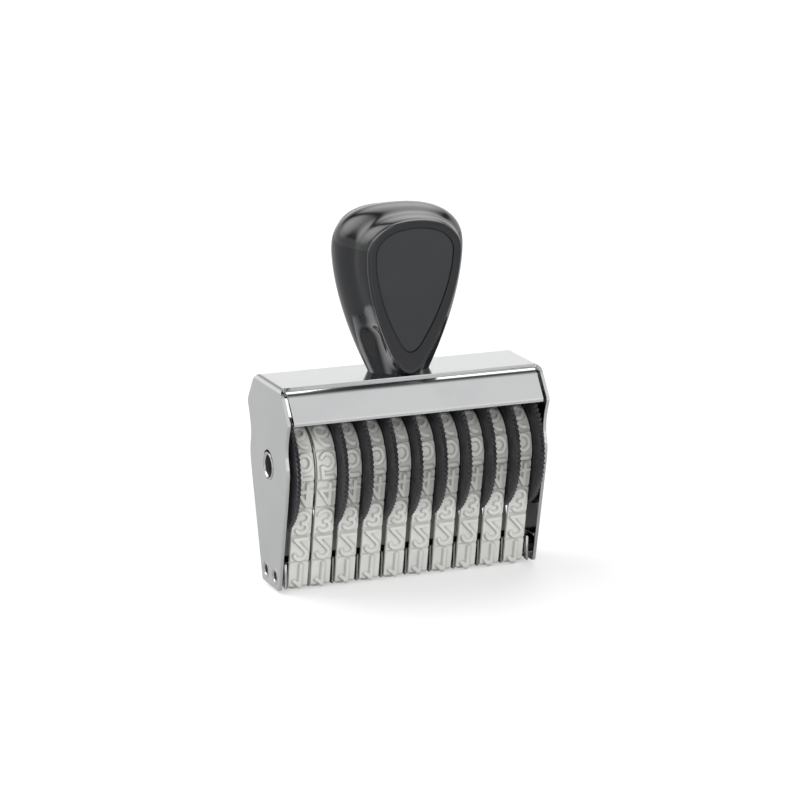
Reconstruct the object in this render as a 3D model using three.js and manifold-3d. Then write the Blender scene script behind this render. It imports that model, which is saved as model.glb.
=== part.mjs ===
// Ten-band hand numbering stamp.
// A frame bent from one steel sheet holds a row of rubber number bands. Each band runs round the drum
// of its own serrated thumbwheel and down over a platen at the foot, where one cell of every band prints.
// A moulded handle is screwed to the top of the frame.
// Millimetres, +Z up. X runs along the row of bands and the front faces -Y.
// The origin lies on the printing plane, below the middle of the frame.

import * as THREE from 'three';
import { mergeVertices } from 'three/addons/utils/BufferGeometryUtils.js';
import Module from 'manifold-3d';

// Row of bands and wheels
const BAND_COUNT = 10;
const BAND_WIDTH = 6.3;
const DISC_THICKNESS = 1.2;
const SIDE_CLEARANCE = 0.3; // between a band or hub and what turns beside it
const SPACER_GAP = 1.0; // between the first two bands, which have no disc between them
const SEAT_GAP = 0.1; // between two pieces that are fastened face to face
const CUT_OVERRUN = 1.5; // how far a cutting tool runs past the wall it cuts

// Thumbwheels
const AXLE_HEIGHT = 39.0;
const WHEEL_RADIUS = 20.6;
const TOOTH_COUNT = 60;
const TOOTH_DEPTH = 0.55;
const DRUM_RADIUS = 11.9;
const DRUM_SIDES = 20;

// Number bands
const CELL_COUNT = 14; // digits and signs on one band
const BAND_THICKNESS = 2.2; // from the drum to the face of the type
const BACKING_THICKNESS = 0.9; // the cord layer that keeps its length
const CELL_GROOVE_WIDTH = 1.1;
const CELL_GROOVE_DEPTH = 0.8;
const CELL_STEPS = 4; // flats that follow the bend of a cell round the drum
const LOOP_STEPS = 14; // flats on the inner face of a band round the drum

// Frame sheet
const SHEET = 1.0;
const SIDE_BEND_RADIUS = 1.8;
const FLANGE_BEND_RADIUS = 2.2;
const BEND_STEPS = 3;
const FLANGE_END_GAP = 0.5; // open seam between a flange and a side plate
const TOP_HALF_DEPTH = 12.4;
const SHOULDER_HALF_DEPTH = 18.3;
const SLOPE_DROP = 8.2; // height of the sloping flange
const LIP_HEIGHT = 1.1; // upright edge under the sloping flange
const WAIST_HALF_DEPTH = 15.8;
const WAIST_BELOW_SHOULDER = 8.7;
const BULGE_HALF_DEPTH = 16.8;
const BULGE_ABOVE_AXLE = 0.9;
const KNEE_BELOW_BULGE = 2.2; // where the taper line meets the bulge
const KNEE_EASE_SHARE = 0.24; // part of the taper that is rounded into the bulge
const FOOT_HALF_DEPTH = 7.4;
const FOOT_HEIGHT = 1.0;
const FOOT_CORNER_RADIUS = 1.6;
const EDGE_CURVE_STEPS = 5;

// Axle, a tube rolled from sheet
const AXLE_RADIUS = 3.5;
const AXLE_WALL = 0.9;
const AXLE_SLIT = 0.8;
const AXLE_CLEARANCE = 0.3;
const AXLE_FLARE_RADIUS = 4.7;
const AXLE_FLARE_THICKNESS = 0.8;
const AXLE_SIDES = 20;
const BORE_SIDES = 12;

// Spacer between the hubs that have no disc between them
const SPACER_RADIUS = 13.6;

// Platen, its rivets and the guides between the bands
const PLATEN_HALF_DEPTH = 4.0;
const PLATEN_SHEET = 0.9;
const PLATEN_WALL_HEIGHT = 6.4;
const EAR_THICKNESS = 0.7;
const EAR_HALF_DEPTH = 7.0;
const EAR_FOOT_HALF_DEPTH = 6.3;
const EAR_FOOT_HEIGHT = 1.6;
const RIVET_SPREAD = 4.1; // from the middle to each rivet
const RIVET_HEIGHT = 4.9;
const RIVET_RADIUS = 1.6;
const RIVET_BORE = 0.9;
const RIVET_CLEARANCE = 0.2;
const RIVET_HEAD_RADIUS = 3.1;
const RIVET_HEAD_THICKNESS = 0.6;
const RIVET_SIDES = 12;
const GUIDE_THICKNESS = 0.5;
const GUIDE_LEG = 1.4;
const GUIDE_CLEARANCE = 0.2;
const GUIDE_FOOT_HEIGHT = 0.9;
const GUIDE_ABOVE_PLATEN = 0.6;
const GUIDE_SPLAY = 0.9; // how much wider a guide is at its top, on each side

// Handle
const HANDLE_HEIGHT = 53.2;
const HANDLE_NECK_HALF_WIDTH = 9.4;
const HANDLE_NECK_HALF_DEPTH = 7.6;
const HANDLE_HALF_WIDTH = 20.9;
const HANDLE_HALF_DEPTH = 12.2;
const HANDLE_WIDEST_HEIGHT = 39.5;
const HANDLE_FLANK_POWER = 1.7;
const HANDLE_ROUND_SHARES = { neck: 2.1, widest: 2.3, domeWide: 2.45, domeDeep: 2.3 };
const HANDLE_SIDES = 28;
const HANDLE_FLANK_STEPS = 7;
const HANDLE_DOME_STEPS = 5;
const PANEL_HALF_WIDTH = 15.2;
const PANEL_TOP_HEIGHT = 50.3;
const PANEL_WIDEST_HEIGHT = 39.5;
const PANEL_TIP_HEIGHT = 1.4;
const PANEL_TIP_HALF_WIDTH = 5.2;
const PANEL_TIP_RISE = 4.2;
const PANEL_FOOT_DEPTH = 10.2; // from the middle to the face of an oval panel, at the neck
const PANEL_LEAN = 0.12; // depth gained per unit of height
const PANEL_CURVE_STEPS = 6;
const PANEL_CURVE_SHARES = { crown: 0.6, shoulder: 0.62, flank: 0.34, taperHeight: 0.26, taperWidth: 0.5 };
const INSET_BORDER = 2.6;
const INSET_FOOT_BORDER = 7.0;
const INSET_DEPTH = 1.0;
const INSET_BELOW_RIM = 0.25;
const INSET_CLEARANCE = 0.15;
const FLUTE_RADIUS = 5.0;
const FLUTE_DEPTH = 1.5;
const FLUTE_TOP_HEIGHT = 17.5;
const FLUTE_TURN = 0.76; // radians from the handle's side towards its front or back
const FLUTE_SIDES = 12;

// Screw that holds the handle
const SCREW_RADIUS = 2.0;
const SCREW_HEAD_RADIUS = 3.7;
const SCREW_HEAD_HEIGHT = 2.0;
const SCREW_LENGTH = 15.0;
const SCREW_CLEARANCE = 0.25;
const SCREW_SIDES = 16;
const WASHER_RADIUS = 5.0;
const WASHER_THICKNESS = 0.8;
const HEAD_TO_WHEEL = 0.9;

// Places that follow from the sizes above
const UNIT_PITCH = BAND_WIDTH + DISC_THICKNESS + 2 * SIDE_CLEARANCE;
const INNER_HALF_WIDTH = (BAND_COUNT * UNIT_PITCH + SPACER_GAP) / 2;
const OUTER_HALF_WIDTH = INNER_HALF_WIDTH + SHEET;
const SCREW_STACK = SEAT_GAP + WASHER_THICKNESS + SEAT_GAP + SCREW_HEAD_HEIGHT;
const CEILING = AXLE_HEIGHT + WHEEL_RADIUS + HEAD_TO_WHEEL + SCREW_STACK;
const FRAME_TOP = CEILING + SHEET;
const SHOULDER_HEIGHT = FRAME_TOP - SLOPE_DROP - LIP_HEIGHT;
const HANDLE_BASE = FRAME_TOP + SEAT_GAP;
const WHEEL_BORE = AXLE_RADIUS + AXLE_CLEARANCE;

const wasm = await Module();
wasm.setup();

const CHROME = { color: 0xc9ccd0, roughness: 0.12, metalness: 1.0 };
const BRIGHT_STEEL = { color: 0xb9bcc0, roughness: 0.25, metalness: 1.0 };
const WHEEL_PLASTIC = { color: 0x2c2d30, roughness: 0.5, metalness: 0.0 };
const BAND_RUBBER = { color: 0xd3d3ce, roughness: 0.7, metalness: 0.0 };
const HANDLE_PLASTIC = { color: 0x222326, roughness: 0.2, metalness: 0.0 };
const INSET_PLASTIC = { color: 0x44474a, roughness: 0.6, metalness: 0.0 };

const numberingStamp = new THREE.Group();

function addPiece(name, geometry, finish) {
  const piece = new THREE.Mesh(geometry, new THREE.MeshStandardMaterial(finish));
  piece.name = name;
  numberingStamp.add(piece);
}

// Turns a closed geometry into a solid that can be joined and cut, and back.
function solidOf(geometry) {
  const bare = geometry.clone();
  bare.deleteAttribute('normal');
  bare.deleteAttribute('uv');
  const welded = mergeVertices(bare);
  const mesh = new wasm.Mesh({
    numProp: 3,
    vertProperties: Float32Array.from(welded.attributes.position.array),
    triVerts: Uint32Array.from(welded.index.array),
  });
  return new wasm.Manifold(mesh);
}

function geometryOf(solid) {
  const mesh = solid.getMesh();
  const geometry = new THREE.BufferGeometry();
  geometry.setAttribute('position', new THREE.BufferAttribute(mesh.vertProperties, 3));
  geometry.setIndex(new THREE.BufferAttribute(mesh.triVerts, 1));
  return geometry;
}

function joined(solids) {
  return solids.reduce((whole, solid) => whole.add(solid));
}

function cutBy(solid, tools) {
  return tools.reduce((rest, tool) => rest.subtract(tool), solid);
}

const AXIS_X = new THREE.Vector3(1, 0, 0);
const AXIS_Y = new THREE.Vector3(0, 1, 0);
const AXIS_Z = new THREE.Vector3(0, 0, 1);

// A profile drawn as (y, z), pushed along X between two places.
function alongX(shape, xLow, xHigh) {
  const geometry = new THREE.ExtrudeGeometry(shape, { depth: xHigh - xLow, bevelEnabled: false });
  geometry.applyMatrix4(new THREE.Matrix4().makeBasis(AXIS_Y, AXIS_Z, AXIS_X));
  return geometry.translate(xLow, 0, 0);
}

// A profile drawn as (x, z), pushed along Y between two places.
function alongY(shape, yLow, yHigh) {
  const geometry = new THREE.ExtrudeGeometry(shape, { depth: yHigh - yLow, bevelEnabled: false });
  const backwards = AXIS_Y.clone().negate();
  geometry.applyMatrix4(new THREE.Matrix4().makeBasis(AXIS_X, AXIS_Z, backwards));
  return geometry.translate(0, yHigh, 0);
}

// A profile of (radius, distance) pairs turned about an axis along X or Z, through the given point.
function turned(profile, sides, axis, centre) {
  const points = profile.map(([radius, distance]) => new THREE.Vector2(radius, distance));
  const geometry = new THREE.LatheGeometry(points, sides);
  const across = axis === AXIS_X ? AXIS_Y : AXIS_X;
  const third = new THREE.Vector3().crossVectors(across, axis);
  geometry.applyMatrix4(new THREE.Matrix4().makeBasis(across, axis, third));
  return geometry.translate(centre.x, centre.y, centre.z);
}

function roundBar(radius, low, high, sides, axis, centre) {
  return turned([[0, low], [radius, low], [radius, high], [0, high]], sides, axis, centre);
}

// Cross-section of bent sheet: the outer line with rounded bends, and the inner line one sheet away.
// The line runs so that the sheet lies on its right-hand side.
function bentSheet(corners, sheet, bendRadius) {
  const outer = [];
  const inner = [];
  const last = corners.length - 1;
  const bend = Math.max(bendRadius, sheet);
  corners.forEach((corner, i) => {
    const into = corner.clone().sub(corners[Math.max(i - 1, 0)]).normalize();
    const away = corners[Math.min(i + 1, last)].clone().sub(corner).normalize();
    if (i === 0 || i === last) {
      const along = i === 0 ? away : into;
      const side = new THREE.Vector2(along.y, -along.x);
      outer.push(corner.clone());
      inner.push(corner.clone().addScaledVector(side, sheet));
      return;
    }
    const turn = Math.acos(THREE.MathUtils.clamp(into.dot(away), -1, 1));
    const setback = bend * Math.tan(turn / 2);
    const side = new THREE.Vector2(into.y, -into.x);
    const centre = corner.clone().addScaledVector(into, -setback).addScaledVector(side, bend);
    for (let step = 0; step <= BEND_STEPS; step += 1) {
      const spoke = side.clone().negate().rotateAround(new THREE.Vector2(), -turn * step / BEND_STEPS);
      outer.push(centre.clone().addScaledVector(spoke, bend));
      if (bend > sheet || step === 0) {
        inner.push(centre.clone().addScaledVector(spoke, bend - sheet));
      }
    }
  });
  return new THREE.Shape([...outer, ...inner.reverse()]);
}

const vector = (x, y) => new THREE.Vector2(x, y);

// Frame: outline of a side plate
// The front half runs from the top down to the foot and the back half is its mirror image.
function sidePlateShape() {
  const waist = SHOULDER_HEIGHT - WAIST_BELOW_SHOULDER;
  const bulge = AXLE_HEIGHT + BULGE_ABOVE_AXLE;
  const knee = vector(BULGE_HALF_DEPTH, bulge - KNEE_BELOW_BULGE);
  const foot = vector(FOOT_HALF_DEPTH, FOOT_HEIGHT);
  const ease = knee.clone().lerp(foot, KNEE_EASE_SHARE);
  const rise = SHOULDER_HEIGHT - waist;
  const half = new THREE.Path();
  half.moveTo(TOP_HALF_DEPTH, FRAME_TOP);
  half.lineTo(SHOULDER_HALF_DEPTH, FRAME_TOP - SLOPE_DROP);
  half.lineTo(SHOULDER_HALF_DEPTH, SHOULDER_HEIGHT);
  half.bezierCurveTo(
    (SHOULDER_HALF_DEPTH + WAIST_HALF_DEPTH) / 2, SHOULDER_HEIGHT - rise / 3,
    WAIST_HALF_DEPTH, waist + rise / 3,
    WAIST_HALF_DEPTH, waist,
  );
  half.bezierCurveTo(
    WAIST_HALF_DEPTH, (waist + bulge) / 2,
    BULGE_HALF_DEPTH, (waist + bulge) / 2,
    BULGE_HALF_DEPTH, bulge,
  );
  half.quadraticCurveTo(knee.x, knee.y, ease.x, ease.y);
  const cornerStart = foot.clone().lerp(ease, FOOT_CORNER_RADIUS / foot.distanceTo(ease));
  half.lineTo(cornerStart.x, cornerStart.y);
  half.quadraticCurveTo(foot.x, foot.y, foot.x - FOOT_CORNER_RADIUS, foot.y);
  const front = half.getPoints(EDGE_CURVE_STEPS);
  const back = front.map((point) => vector(-point.x, point.y)).reverse();
  return new THREE.Shape([...front, ...back]);
}

// Frame: side plates and top plate bent from one strip, trimmed to the side outline, with two flanges
function frameSolid() {
  const strip = bentSheet([
    vector(-OUTER_HALF_WIDTH, 0),
    vector(-OUTER_HALF_WIDTH, FRAME_TOP),
    vector(OUTER_HALF_WIDTH, FRAME_TOP),
    vector(OUTER_HALF_WIDTH, 0),
  ], SHEET, SIDE_BEND_RADIUS);
  const reach = SHOULDER_HALF_DEPTH + CUT_OVERRUN;
  const trim = alongX(sidePlateShape(), -OUTER_HALF_WIDTH - CUT_OVERRUN, OUTER_HALF_WIDTH + CUT_OVERRUN);
  const plates = solidOf(alongY(strip, -reach, reach)).intersect(solidOf(trim));
  const flange = bentSheet([
    vector(-SHOULDER_HALF_DEPTH, SHOULDER_HEIGHT),
    vector(-SHOULDER_HALF_DEPTH, FRAME_TOP - SLOPE_DROP),
    vector(-TOP_HALF_DEPTH, FRAME_TOP),
    vector(TOP_HALF_DEPTH, FRAME_TOP),
    vector(SHOULDER_HALF_DEPTH, FRAME_TOP - SLOPE_DROP),
    vector(SHOULDER_HALF_DEPTH, SHOULDER_HEIGHT),
  ], SHEET, FLANGE_BEND_RADIUS);
  const flangeEnd = INNER_HALF_WIDTH - FLANGE_END_GAP;
  const flanges = solidOf(alongX(flange, -flangeEnd, flangeEnd));
  const through = OUTER_HALF_WIDTH + CUT_OVERRUN;
  const axleCentre = new THREE.Vector3(0, 0, AXLE_HEIGHT);
  const axleHole = roundBar(WHEEL_BORE, -through, through, AXLE_SIDES, AXIS_X, axleCentre);
  const rivetHoles = [-RIVET_SPREAD, RIVET_SPREAD].map((y) => {
    const centre = new THREE.Vector3(0, y, RIVET_HEIGHT);
    const radius = RIVET_RADIUS + RIVET_CLEARANCE;
    return solidOf(roundBar(radius, -through, through, RIVET_SIDES, AXIS_X, centre));
  });
  const screwHoleRadius = SCREW_RADIUS + SCREW_CLEARANCE;
  const screwLow = CEILING - CUT_OVERRUN;
  const screwHigh = FRAME_TOP + CUT_OVERRUN;
  const middle = new THREE.Vector3();
  const screwHole = roundBar(screwHoleRadius, screwLow, screwHigh, SCREW_SIDES, AXIS_Z, middle);
  return cutBy(joined([plates, flanges]), [solidOf(axleHole), ...rivetHoles, solidOf(screwHole)]);
}

addPiece('frame', geometryOf(frameSolid()), CHROME);

// Places of the bands and discs along the row
// The first wheel has its disc on the outside, and all the others have theirs on the right of the band.
function bandLeft(index) {
  if (index === 0) {
    return -INNER_HALF_WIDTH + SIDE_CLEARANCE + DISC_THICKNESS + SIDE_CLEARANCE;
  }
  return -INNER_HALF_WIDTH + index * UNIT_PITCH + SPACER_GAP;
}

function discLeft(index) {
  if (index === 0) {
    return -INNER_HALF_WIDTH + SIDE_CLEARANCE;
  }
  return bandLeft(index) + BAND_WIDTH + SIDE_CLEARANCE;
}

// Thumbwheel: a serrated disc with a drum beside it that carries the band, bored for the axle
function serratedShape() {
  const points = [];
  for (let tooth = 0; tooth < TOOTH_COUNT; tooth += 1) {
    const tip = 2 * Math.PI * tooth / TOOTH_COUNT;
    const root = 2 * Math.PI * (tooth + 1 / 2) / TOOTH_COUNT;
    const rootRadius = WHEEL_RADIUS - TOOTH_DEPTH;
    points.push(vector(WHEEL_RADIUS * Math.cos(tip), WHEEL_RADIUS * Math.sin(tip)));
    points.push(vector(rootRadius * Math.cos(root), rootRadius * Math.sin(root)));
  }
  return new THREE.Shape(points);
}

function wheelSolid(index) {
  const disc = alongX(serratedShape(), discLeft(index), discLeft(index) + DISC_THICKNESS);
  const discMiddle = discLeft(index) + DISC_THICKNESS / 2;
  const drumEnd = index === 0 ? bandLeft(index) + BAND_WIDTH : bandLeft(index);
  const low = Math.min(discMiddle, drumEnd);
  const high = Math.max(discMiddle, drumEnd);
  const centre = new THREE.Vector3();
  const drum = roundBar(DRUM_RADIUS, low, high, DRUM_SIDES, AXIS_X, centre);
  const boreLow = Math.min(discLeft(index), low) - CUT_OVERRUN;
  const boreHigh = Math.max(discLeft(index) + DISC_THICKNESS, high) + CUT_OVERRUN;
  const bore = roundBar(WHEEL_BORE, boreLow, boreHigh, BORE_SIDES, AXIS_X, centre);
  const wheel = solidOf(disc).add(solidOf(drum)).subtract(solidOf(bore));
  return wheel.translate([0, 0, AXLE_HEIGHT]);
}

for (let index = 0; index < BAND_COUNT; index += 1) {
  addPiece(`number_wheel_${index + 1}`, geometryOf(wheelSolid(index)), WHEEL_PLASTIC);
}

// Path of a band's cord layer
// It starts under the middle of the platen, turns up at the platen's edge, rises in a straight line
// that touches the drum, and goes round the drum. The other half is the mirror image.
const CORD_HEIGHT = BAND_THICKNESS - BACKING_THICKNESS;
const CORD_CORNER = PLATEN_HALF_DEPTH + SEAT_GAP + BACKING_THICKNESS;
const CORD_RADIUS = DRUM_RADIUS + SIDE_CLEARANCE + BACKING_THICKNESS;
const AXLE_ABOVE_CORD = AXLE_HEIGHT - CORD_HEIGHT;
const CORNER_TO_AXLE = Math.hypot(CORD_CORNER, AXLE_ABOVE_CORD);
const BAND_LEAN = Math.asin(CORD_RADIUS / CORNER_TO_AXLE) - Math.atan2(CORD_CORNER, AXLE_ABOVE_CORD);
const STRAIGHT_LENGTH = Math.sqrt(CORNER_TO_AXLE ** 2 - CORD_RADIUS ** 2);
const HALF_LOOP = CORD_CORNER + STRAIGHT_LENGTH + CORD_RADIUS * (Math.PI / 2 + BAND_LEAN);
const CELL_PITCH = 2 * HALF_LOOP / CELL_COUNT;

function bandPoint(distance, offset) {
  const along = Math.abs(distance);
  const front = Math.sign(distance) || 1;
  let place;
  let normal;
  if (along <= CORD_CORNER) {
    place = vector(along, CORD_HEIGHT);
    normal = vector(0, -1);
  } else if (along <= CORD_CORNER + STRAIGHT_LENGTH) {
    const climb = along - CORD_CORNER;
    normal = vector(Math.cos(BAND_LEAN), -Math.sin(BAND_LEAN));
    place = vector(CORD_CORNER + climb * Math.sin(BAND_LEAN), CORD_HEIGHT + climb * Math.cos(BAND_LEAN));
  } else {
    const angle = (along - CORD_CORNER - STRAIGHT_LENGTH) / CORD_RADIUS - BAND_LEAN;
    normal = vector(Math.cos(angle), Math.sin(angle));
    place = vector(CORD_RADIUS * normal.x, AXLE_HEIGHT + CORD_RADIUS * normal.y);
  }
  place.addScaledVector(normal, offset);
  return vector(-front * place.x, place.y);
}

// The platen's edge: the outside of the band is rounded there and its inside is folded sharply.
function cornerPoints(front) {
  const spread = Math.PI / 2 - BAND_LEAN;
  const shares = front > 0 ? [0, 0.5, 1] : [1, 0.5, 0];
  return shares.map((share) => {
    const angle = -Math.PI / 2 + spread * share;
    const depth = CORD_CORNER + CORD_HEIGHT * Math.cos(angle);
    return vector(-front * depth, CORD_HEIGHT + CORD_HEIGHT * Math.sin(angle));
  });
}

function bandShape() {
  const outer = [];
  const grooveHalf = CELL_GROOVE_WIDTH / 2;
  for (let cell = 0; cell < CELL_COUNT; cell += 1) {
    const start = (cell - (CELL_COUNT - 1) / 2) * CELL_PITCH;
    outer.push(bandPoint(start, CORD_HEIGHT - CELL_GROOVE_DEPTH));
    const places = [start + grooveHalf, start + CELL_PITCH - grooveHalf];
    const onDrum = places.every((place) => Math.abs(place) > CORD_CORNER + STRAIGHT_LENGTH);
    const tangents = [-1, 1].map((side) => side * (CORD_CORNER + STRAIGHT_LENGTH));
    const bends = tangents.filter((place) => place > places[0] && place < places[1]);
    const corners = [-1, 1].filter((side) => {
      const corner = side * CORD_CORNER;
      return corner > places[0] && corner < places[1];
    });
    outer.push(bandPoint(places[0], CORD_HEIGHT));
    if (onDrum) {
      for (let step = 1; step < CELL_STEPS; step += 1) {
        const place = THREE.MathUtils.lerp(places[0], places[1], step / CELL_STEPS);
        outer.push(bandPoint(place, CORD_HEIGHT));
      }
    }
    bends.forEach((place) => outer.push(bandPoint(place, CORD_HEIGHT)));
    corners.forEach((front) => outer.push(...cornerPoints(front)));
    outer.push(bandPoint(places[1], CORD_HEIGHT));
  }
  const shape = new THREE.Shape(outer);
  const fold = BACKING_THICKNESS * Math.tan((Math.PI / 2 - BAND_LEAN) / 2);
  const inner = [vector(-CORD_CORNER + fold, BAND_THICKNESS), vector(CORD_CORNER - fold, BAND_THICKNESS)];
  const wrap = Math.PI + 2 * BAND_LEAN;
  const innerRadius = CORD_RADIUS - BACKING_THICKNESS;
  for (let step = 0; step <= LOOP_STEPS; step += 1) {
    const angle = -BAND_LEAN + wrap * step / LOOP_STEPS;
    inner.push(vector(innerRadius * Math.cos(angle), AXLE_HEIGHT + innerRadius * Math.sin(angle)));
  }
  shape.holes.push(new THREE.Path(inner));
  return shape;
}

for (let index = 0; index < BAND_COUNT; index += 1) {
  const band = alongX(bandShape(), bandLeft(index), bandLeft(index) + BAND_WIDTH);
  addPiece(`number_band_${index + 1}`, band, BAND_RUBBER);
}

// Axle: a slit tube whose ends are flared over the side plates
function axleSolid() {
  const seat = OUTER_HALF_WIDTH + SEAT_GAP;
  const end = seat + AXLE_FLARE_THICKNESS;
  const bore = AXLE_RADIUS - AXLE_WALL;
  const profile = [
    [bore, -seat],
    [AXLE_RADIUS, -end],
    [AXLE_FLARE_RADIUS, -end],
    [AXLE_FLARE_RADIUS, -seat],
    [AXLE_RADIUS, -seat],
    [AXLE_RADIUS, seat],
    [AXLE_FLARE_RADIUS, seat],
    [AXLE_FLARE_RADIUS, end],
    [AXLE_RADIUS, end],
    [bore, seat],
    [bore, -seat],
  ];
  const tube = solidOf(turned(profile, AXLE_SIDES, AXIS_X, new THREE.Vector3(0, 0, AXLE_HEIGHT)));
  const reach = end + CUT_OVERRUN;
  const slit = new THREE.BoxGeometry(2 * reach, AXLE_SLIT, AXLE_FLARE_RADIUS + CUT_OVERRUN);
  slit.translate(0, 0, AXLE_HEIGHT - (AXLE_FLARE_RADIUS + CUT_OVERRUN) / 2);
  return tube.subtract(solidOf(slit));
}

addPiece('wheel_axle', geometryOf(axleSolid()), BRIGHT_STEEL);

// Spacer washer between the first two hubs
function washerGeometry(outerRadius, boreRadius, low, high, sides, axis, centre) {
  const outside = [[outerRadius, low], [outerRadius, high]];
  const inside = [[boreRadius, high], [boreRadius, low]];
  return turned([[boreRadius, low], ...outside, ...inside], sides, axis, centre);
}

const spacerLow = bandLeft(0) + BAND_WIDTH + SIDE_CLEARANCE;
const spacerHigh = bandLeft(1) - SIDE_CLEARANCE;
const axleLine = new THREE.Vector3(0, 0, AXLE_HEIGHT);
const spacer = washerGeometry(SPACER_RADIUS, WHEEL_BORE, spacerLow, spacerHigh, DRUM_SIDES, AXIS_X, axleLine);
addPiece('wheel_spacer', spacer, BRIGHT_STEEL);

// Platen: an open channel under all the bands, with an ear at each end that is riveted to a side plate
const PLATEN_BOTTOM = BAND_THICKNESS + SEAT_GAP;
const PLATEN_TOP = PLATEN_BOTTOM + PLATEN_WALL_HEIGHT;
const EAR_OUTSIDE = INNER_HALF_WIDTH - SEAT_GAP;
const EAR_INSIDE = EAR_OUTSIDE - EAR_THICKNESS;

function platenSolid() {
  const channel = bentSheet([
    vector(PLATEN_HALF_DEPTH, PLATEN_TOP),
    vector(PLATEN_HALF_DEPTH, PLATEN_BOTTOM),
    vector(-PLATEN_HALF_DEPTH, PLATEN_BOTTOM),
    vector(-PLATEN_HALF_DEPTH, PLATEN_TOP),
  ], PLATEN_SHEET, PLATEN_SHEET);
  const rootDepth = EAR_THICKNESS / 2;
  const body = solidOf(alongX(channel, -EAR_INSIDE - rootDepth, EAR_INSIDE + rootDepth));
  const earShape = new THREE.Shape([
    vector(-EAR_FOOT_HALF_DEPTH, EAR_FOOT_HEIGHT),
    vector(EAR_FOOT_HALF_DEPTH, EAR_FOOT_HEIGHT),
    vector(EAR_HALF_DEPTH, PLATEN_TOP),
    vector(-EAR_HALF_DEPTH, PLATEN_TOP),
  ]);
  const ears = [-1, 1].map((side) => {
    const ends = [side * EAR_INSIDE, side * EAR_OUTSIDE].sort((a, b) => a - b);
    return solidOf(alongX(earShape, ends[0], ends[1]));
  });
  const holes = [];
  for (const side of [-1, 1]) {
    for (const y of [-RIVET_SPREAD, RIVET_SPREAD]) {
      const ends = [side * EAR_INSIDE, side * (EAR_OUTSIDE + CUT_OVERRUN)].sort((a, b) => a - b);
      const centre = new THREE.Vector3(0, y, RIVET_HEIGHT);
      const radius = RIVET_RADIUS + RIVET_CLEARANCE;
      holes.push(solidOf(roundBar(radius, ends[0], ends[1], RIVET_SIDES, AXIS_X, centre)));
    }
  }
  return cutBy(joined([body, ...ears]), holes);
}

addPiece('platen', geometryOf(platenSolid()), CHROME);

// Tubular rivets: two at each end of the platen, with their flared heads outside the side plates
const RIVET_PLACES = [
  { name: 'left_front', side: -1, y: -RIVET_SPREAD },
  { name: 'left_rear', side: -1, y: RIVET_SPREAD },
  { name: 'right_front', side: 1, y: -RIVET_SPREAD },
  { name: 'right_rear', side: 1, y: RIVET_SPREAD },
];

for (const { name, side, y } of RIVET_PLACES) {
  const tail = EAR_INSIDE + SEAT_GAP;
  const seat = OUTER_HALF_WIDTH + SEAT_GAP;
  const head = seat + RIVET_HEAD_THICKNESS;
  const profile = [
    [RIVET_BORE, tail],
    [RIVET_RADIUS, tail],
    [RIVET_RADIUS, seat],
    [RIVET_HEAD_RADIUS, seat],
    [(RIVET_HEAD_RADIUS + RIVET_RADIUS) / 2, head],
    [RIVET_RADIUS, head],
    [RIVET_BORE, seat],
    [RIVET_BORE, tail],
  ];
  const rivet = turned(profile, RIVET_SIDES, AXIS_X, new THREE.Vector3());
  rivet.rotateZ(side > 0 ? 0 : Math.PI);
  rivet.translate(0, y, RIVET_HEIGHT);
  addPiece(`platen_rivet_${name}`, rivet, BRIGHT_STEEL);
}

// Band guides: thin plates that straddle the platen and keep neighbouring bands apart
function guideShape() {
  const top = PLATEN_TOP + GUIDE_ABOVE_PLATEN;
  const slotHalf = PLATEN_HALF_DEPTH + GUIDE_CLEARANCE;
  const slotFloor = PLATEN_BOTTOM - GUIDE_CLEARANCE;
  const footHalf = slotHalf + GUIDE_LEG;
  return new THREE.Shape([
    vector(-footHalf, GUIDE_FOOT_HEIGHT),
    vector(footHalf, GUIDE_FOOT_HEIGHT),
    vector(footHalf + GUIDE_SPLAY, top),
    vector(slotHalf, top),
    vector(slotHalf, slotFloor),
    vector(-slotHalf, slotFloor),
    vector(-slotHalf, top),
    vector(-footHalf - GUIDE_SPLAY, top),
  ]);
}

for (let gap = 1; gap < BAND_COUNT; gap += 1) {
  const middle = (bandLeft(gap - 1) + BAND_WIDTH + bandLeft(gap)) / 2;
  const guide = alongX(guideShape(), middle - GUIDE_THICKNESS / 2, middle + GUIDE_THICKNESS / 2);
  addPiece(`band_guide_${gap}`, guide, BRIGHT_STEEL);
}

// Handle body: rounded sections that widen from the neck and close in a flat dome
function rounded(value, power) {
  return Math.sign(value) * Math.abs(value) ** (2 / power);
}

function handleSection(halfWidth, halfDepth, height, power) {
  const ring = [];
  for (let side = 0; side < HANDLE_SIDES; side += 1) {
    const angle = 2 * Math.PI * side / HANDLE_SIDES;
    const x = halfWidth * rounded(Math.cos(angle), power);
    const y = halfDepth * rounded(Math.sin(angle), power);
    ring.push(new THREE.Vector3(x, y, height));
  }
  return ring;
}

// A closed skin over rings of equal count, with a fan at the foot and one at the top.
function loft(rings, footCentre, topCentre) {
  const sides = rings[0].length;
  const positions = [footCentre, ...rings.flat(), topCentre].flatMap((point) => point.toArray());
  const faces = [];
  const topIndex = 1 + rings.length * sides;
  for (let side = 0; side < sides; side += 1) {
    const next = (side + 1) % sides;
    faces.push(0, 1 + next, 1 + side);
    for (let level = 0; level < rings.length - 1; level += 1) {
      const low = 1 + level * sides;
      const high = low + sides;
      faces.push(low + side, low + next, high + next);
      faces.push(low + side, high + next, high + side);
    }
    faces.push(topIndex, topIndex - sides + side, topIndex - sides + next);
  }
  const geometry = new THREE.BufferGeometry();
  geometry.setAttribute('position', new THREE.Float32BufferAttribute(positions, 3));
  geometry.setIndex(faces);
  return geometry;
}

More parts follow.
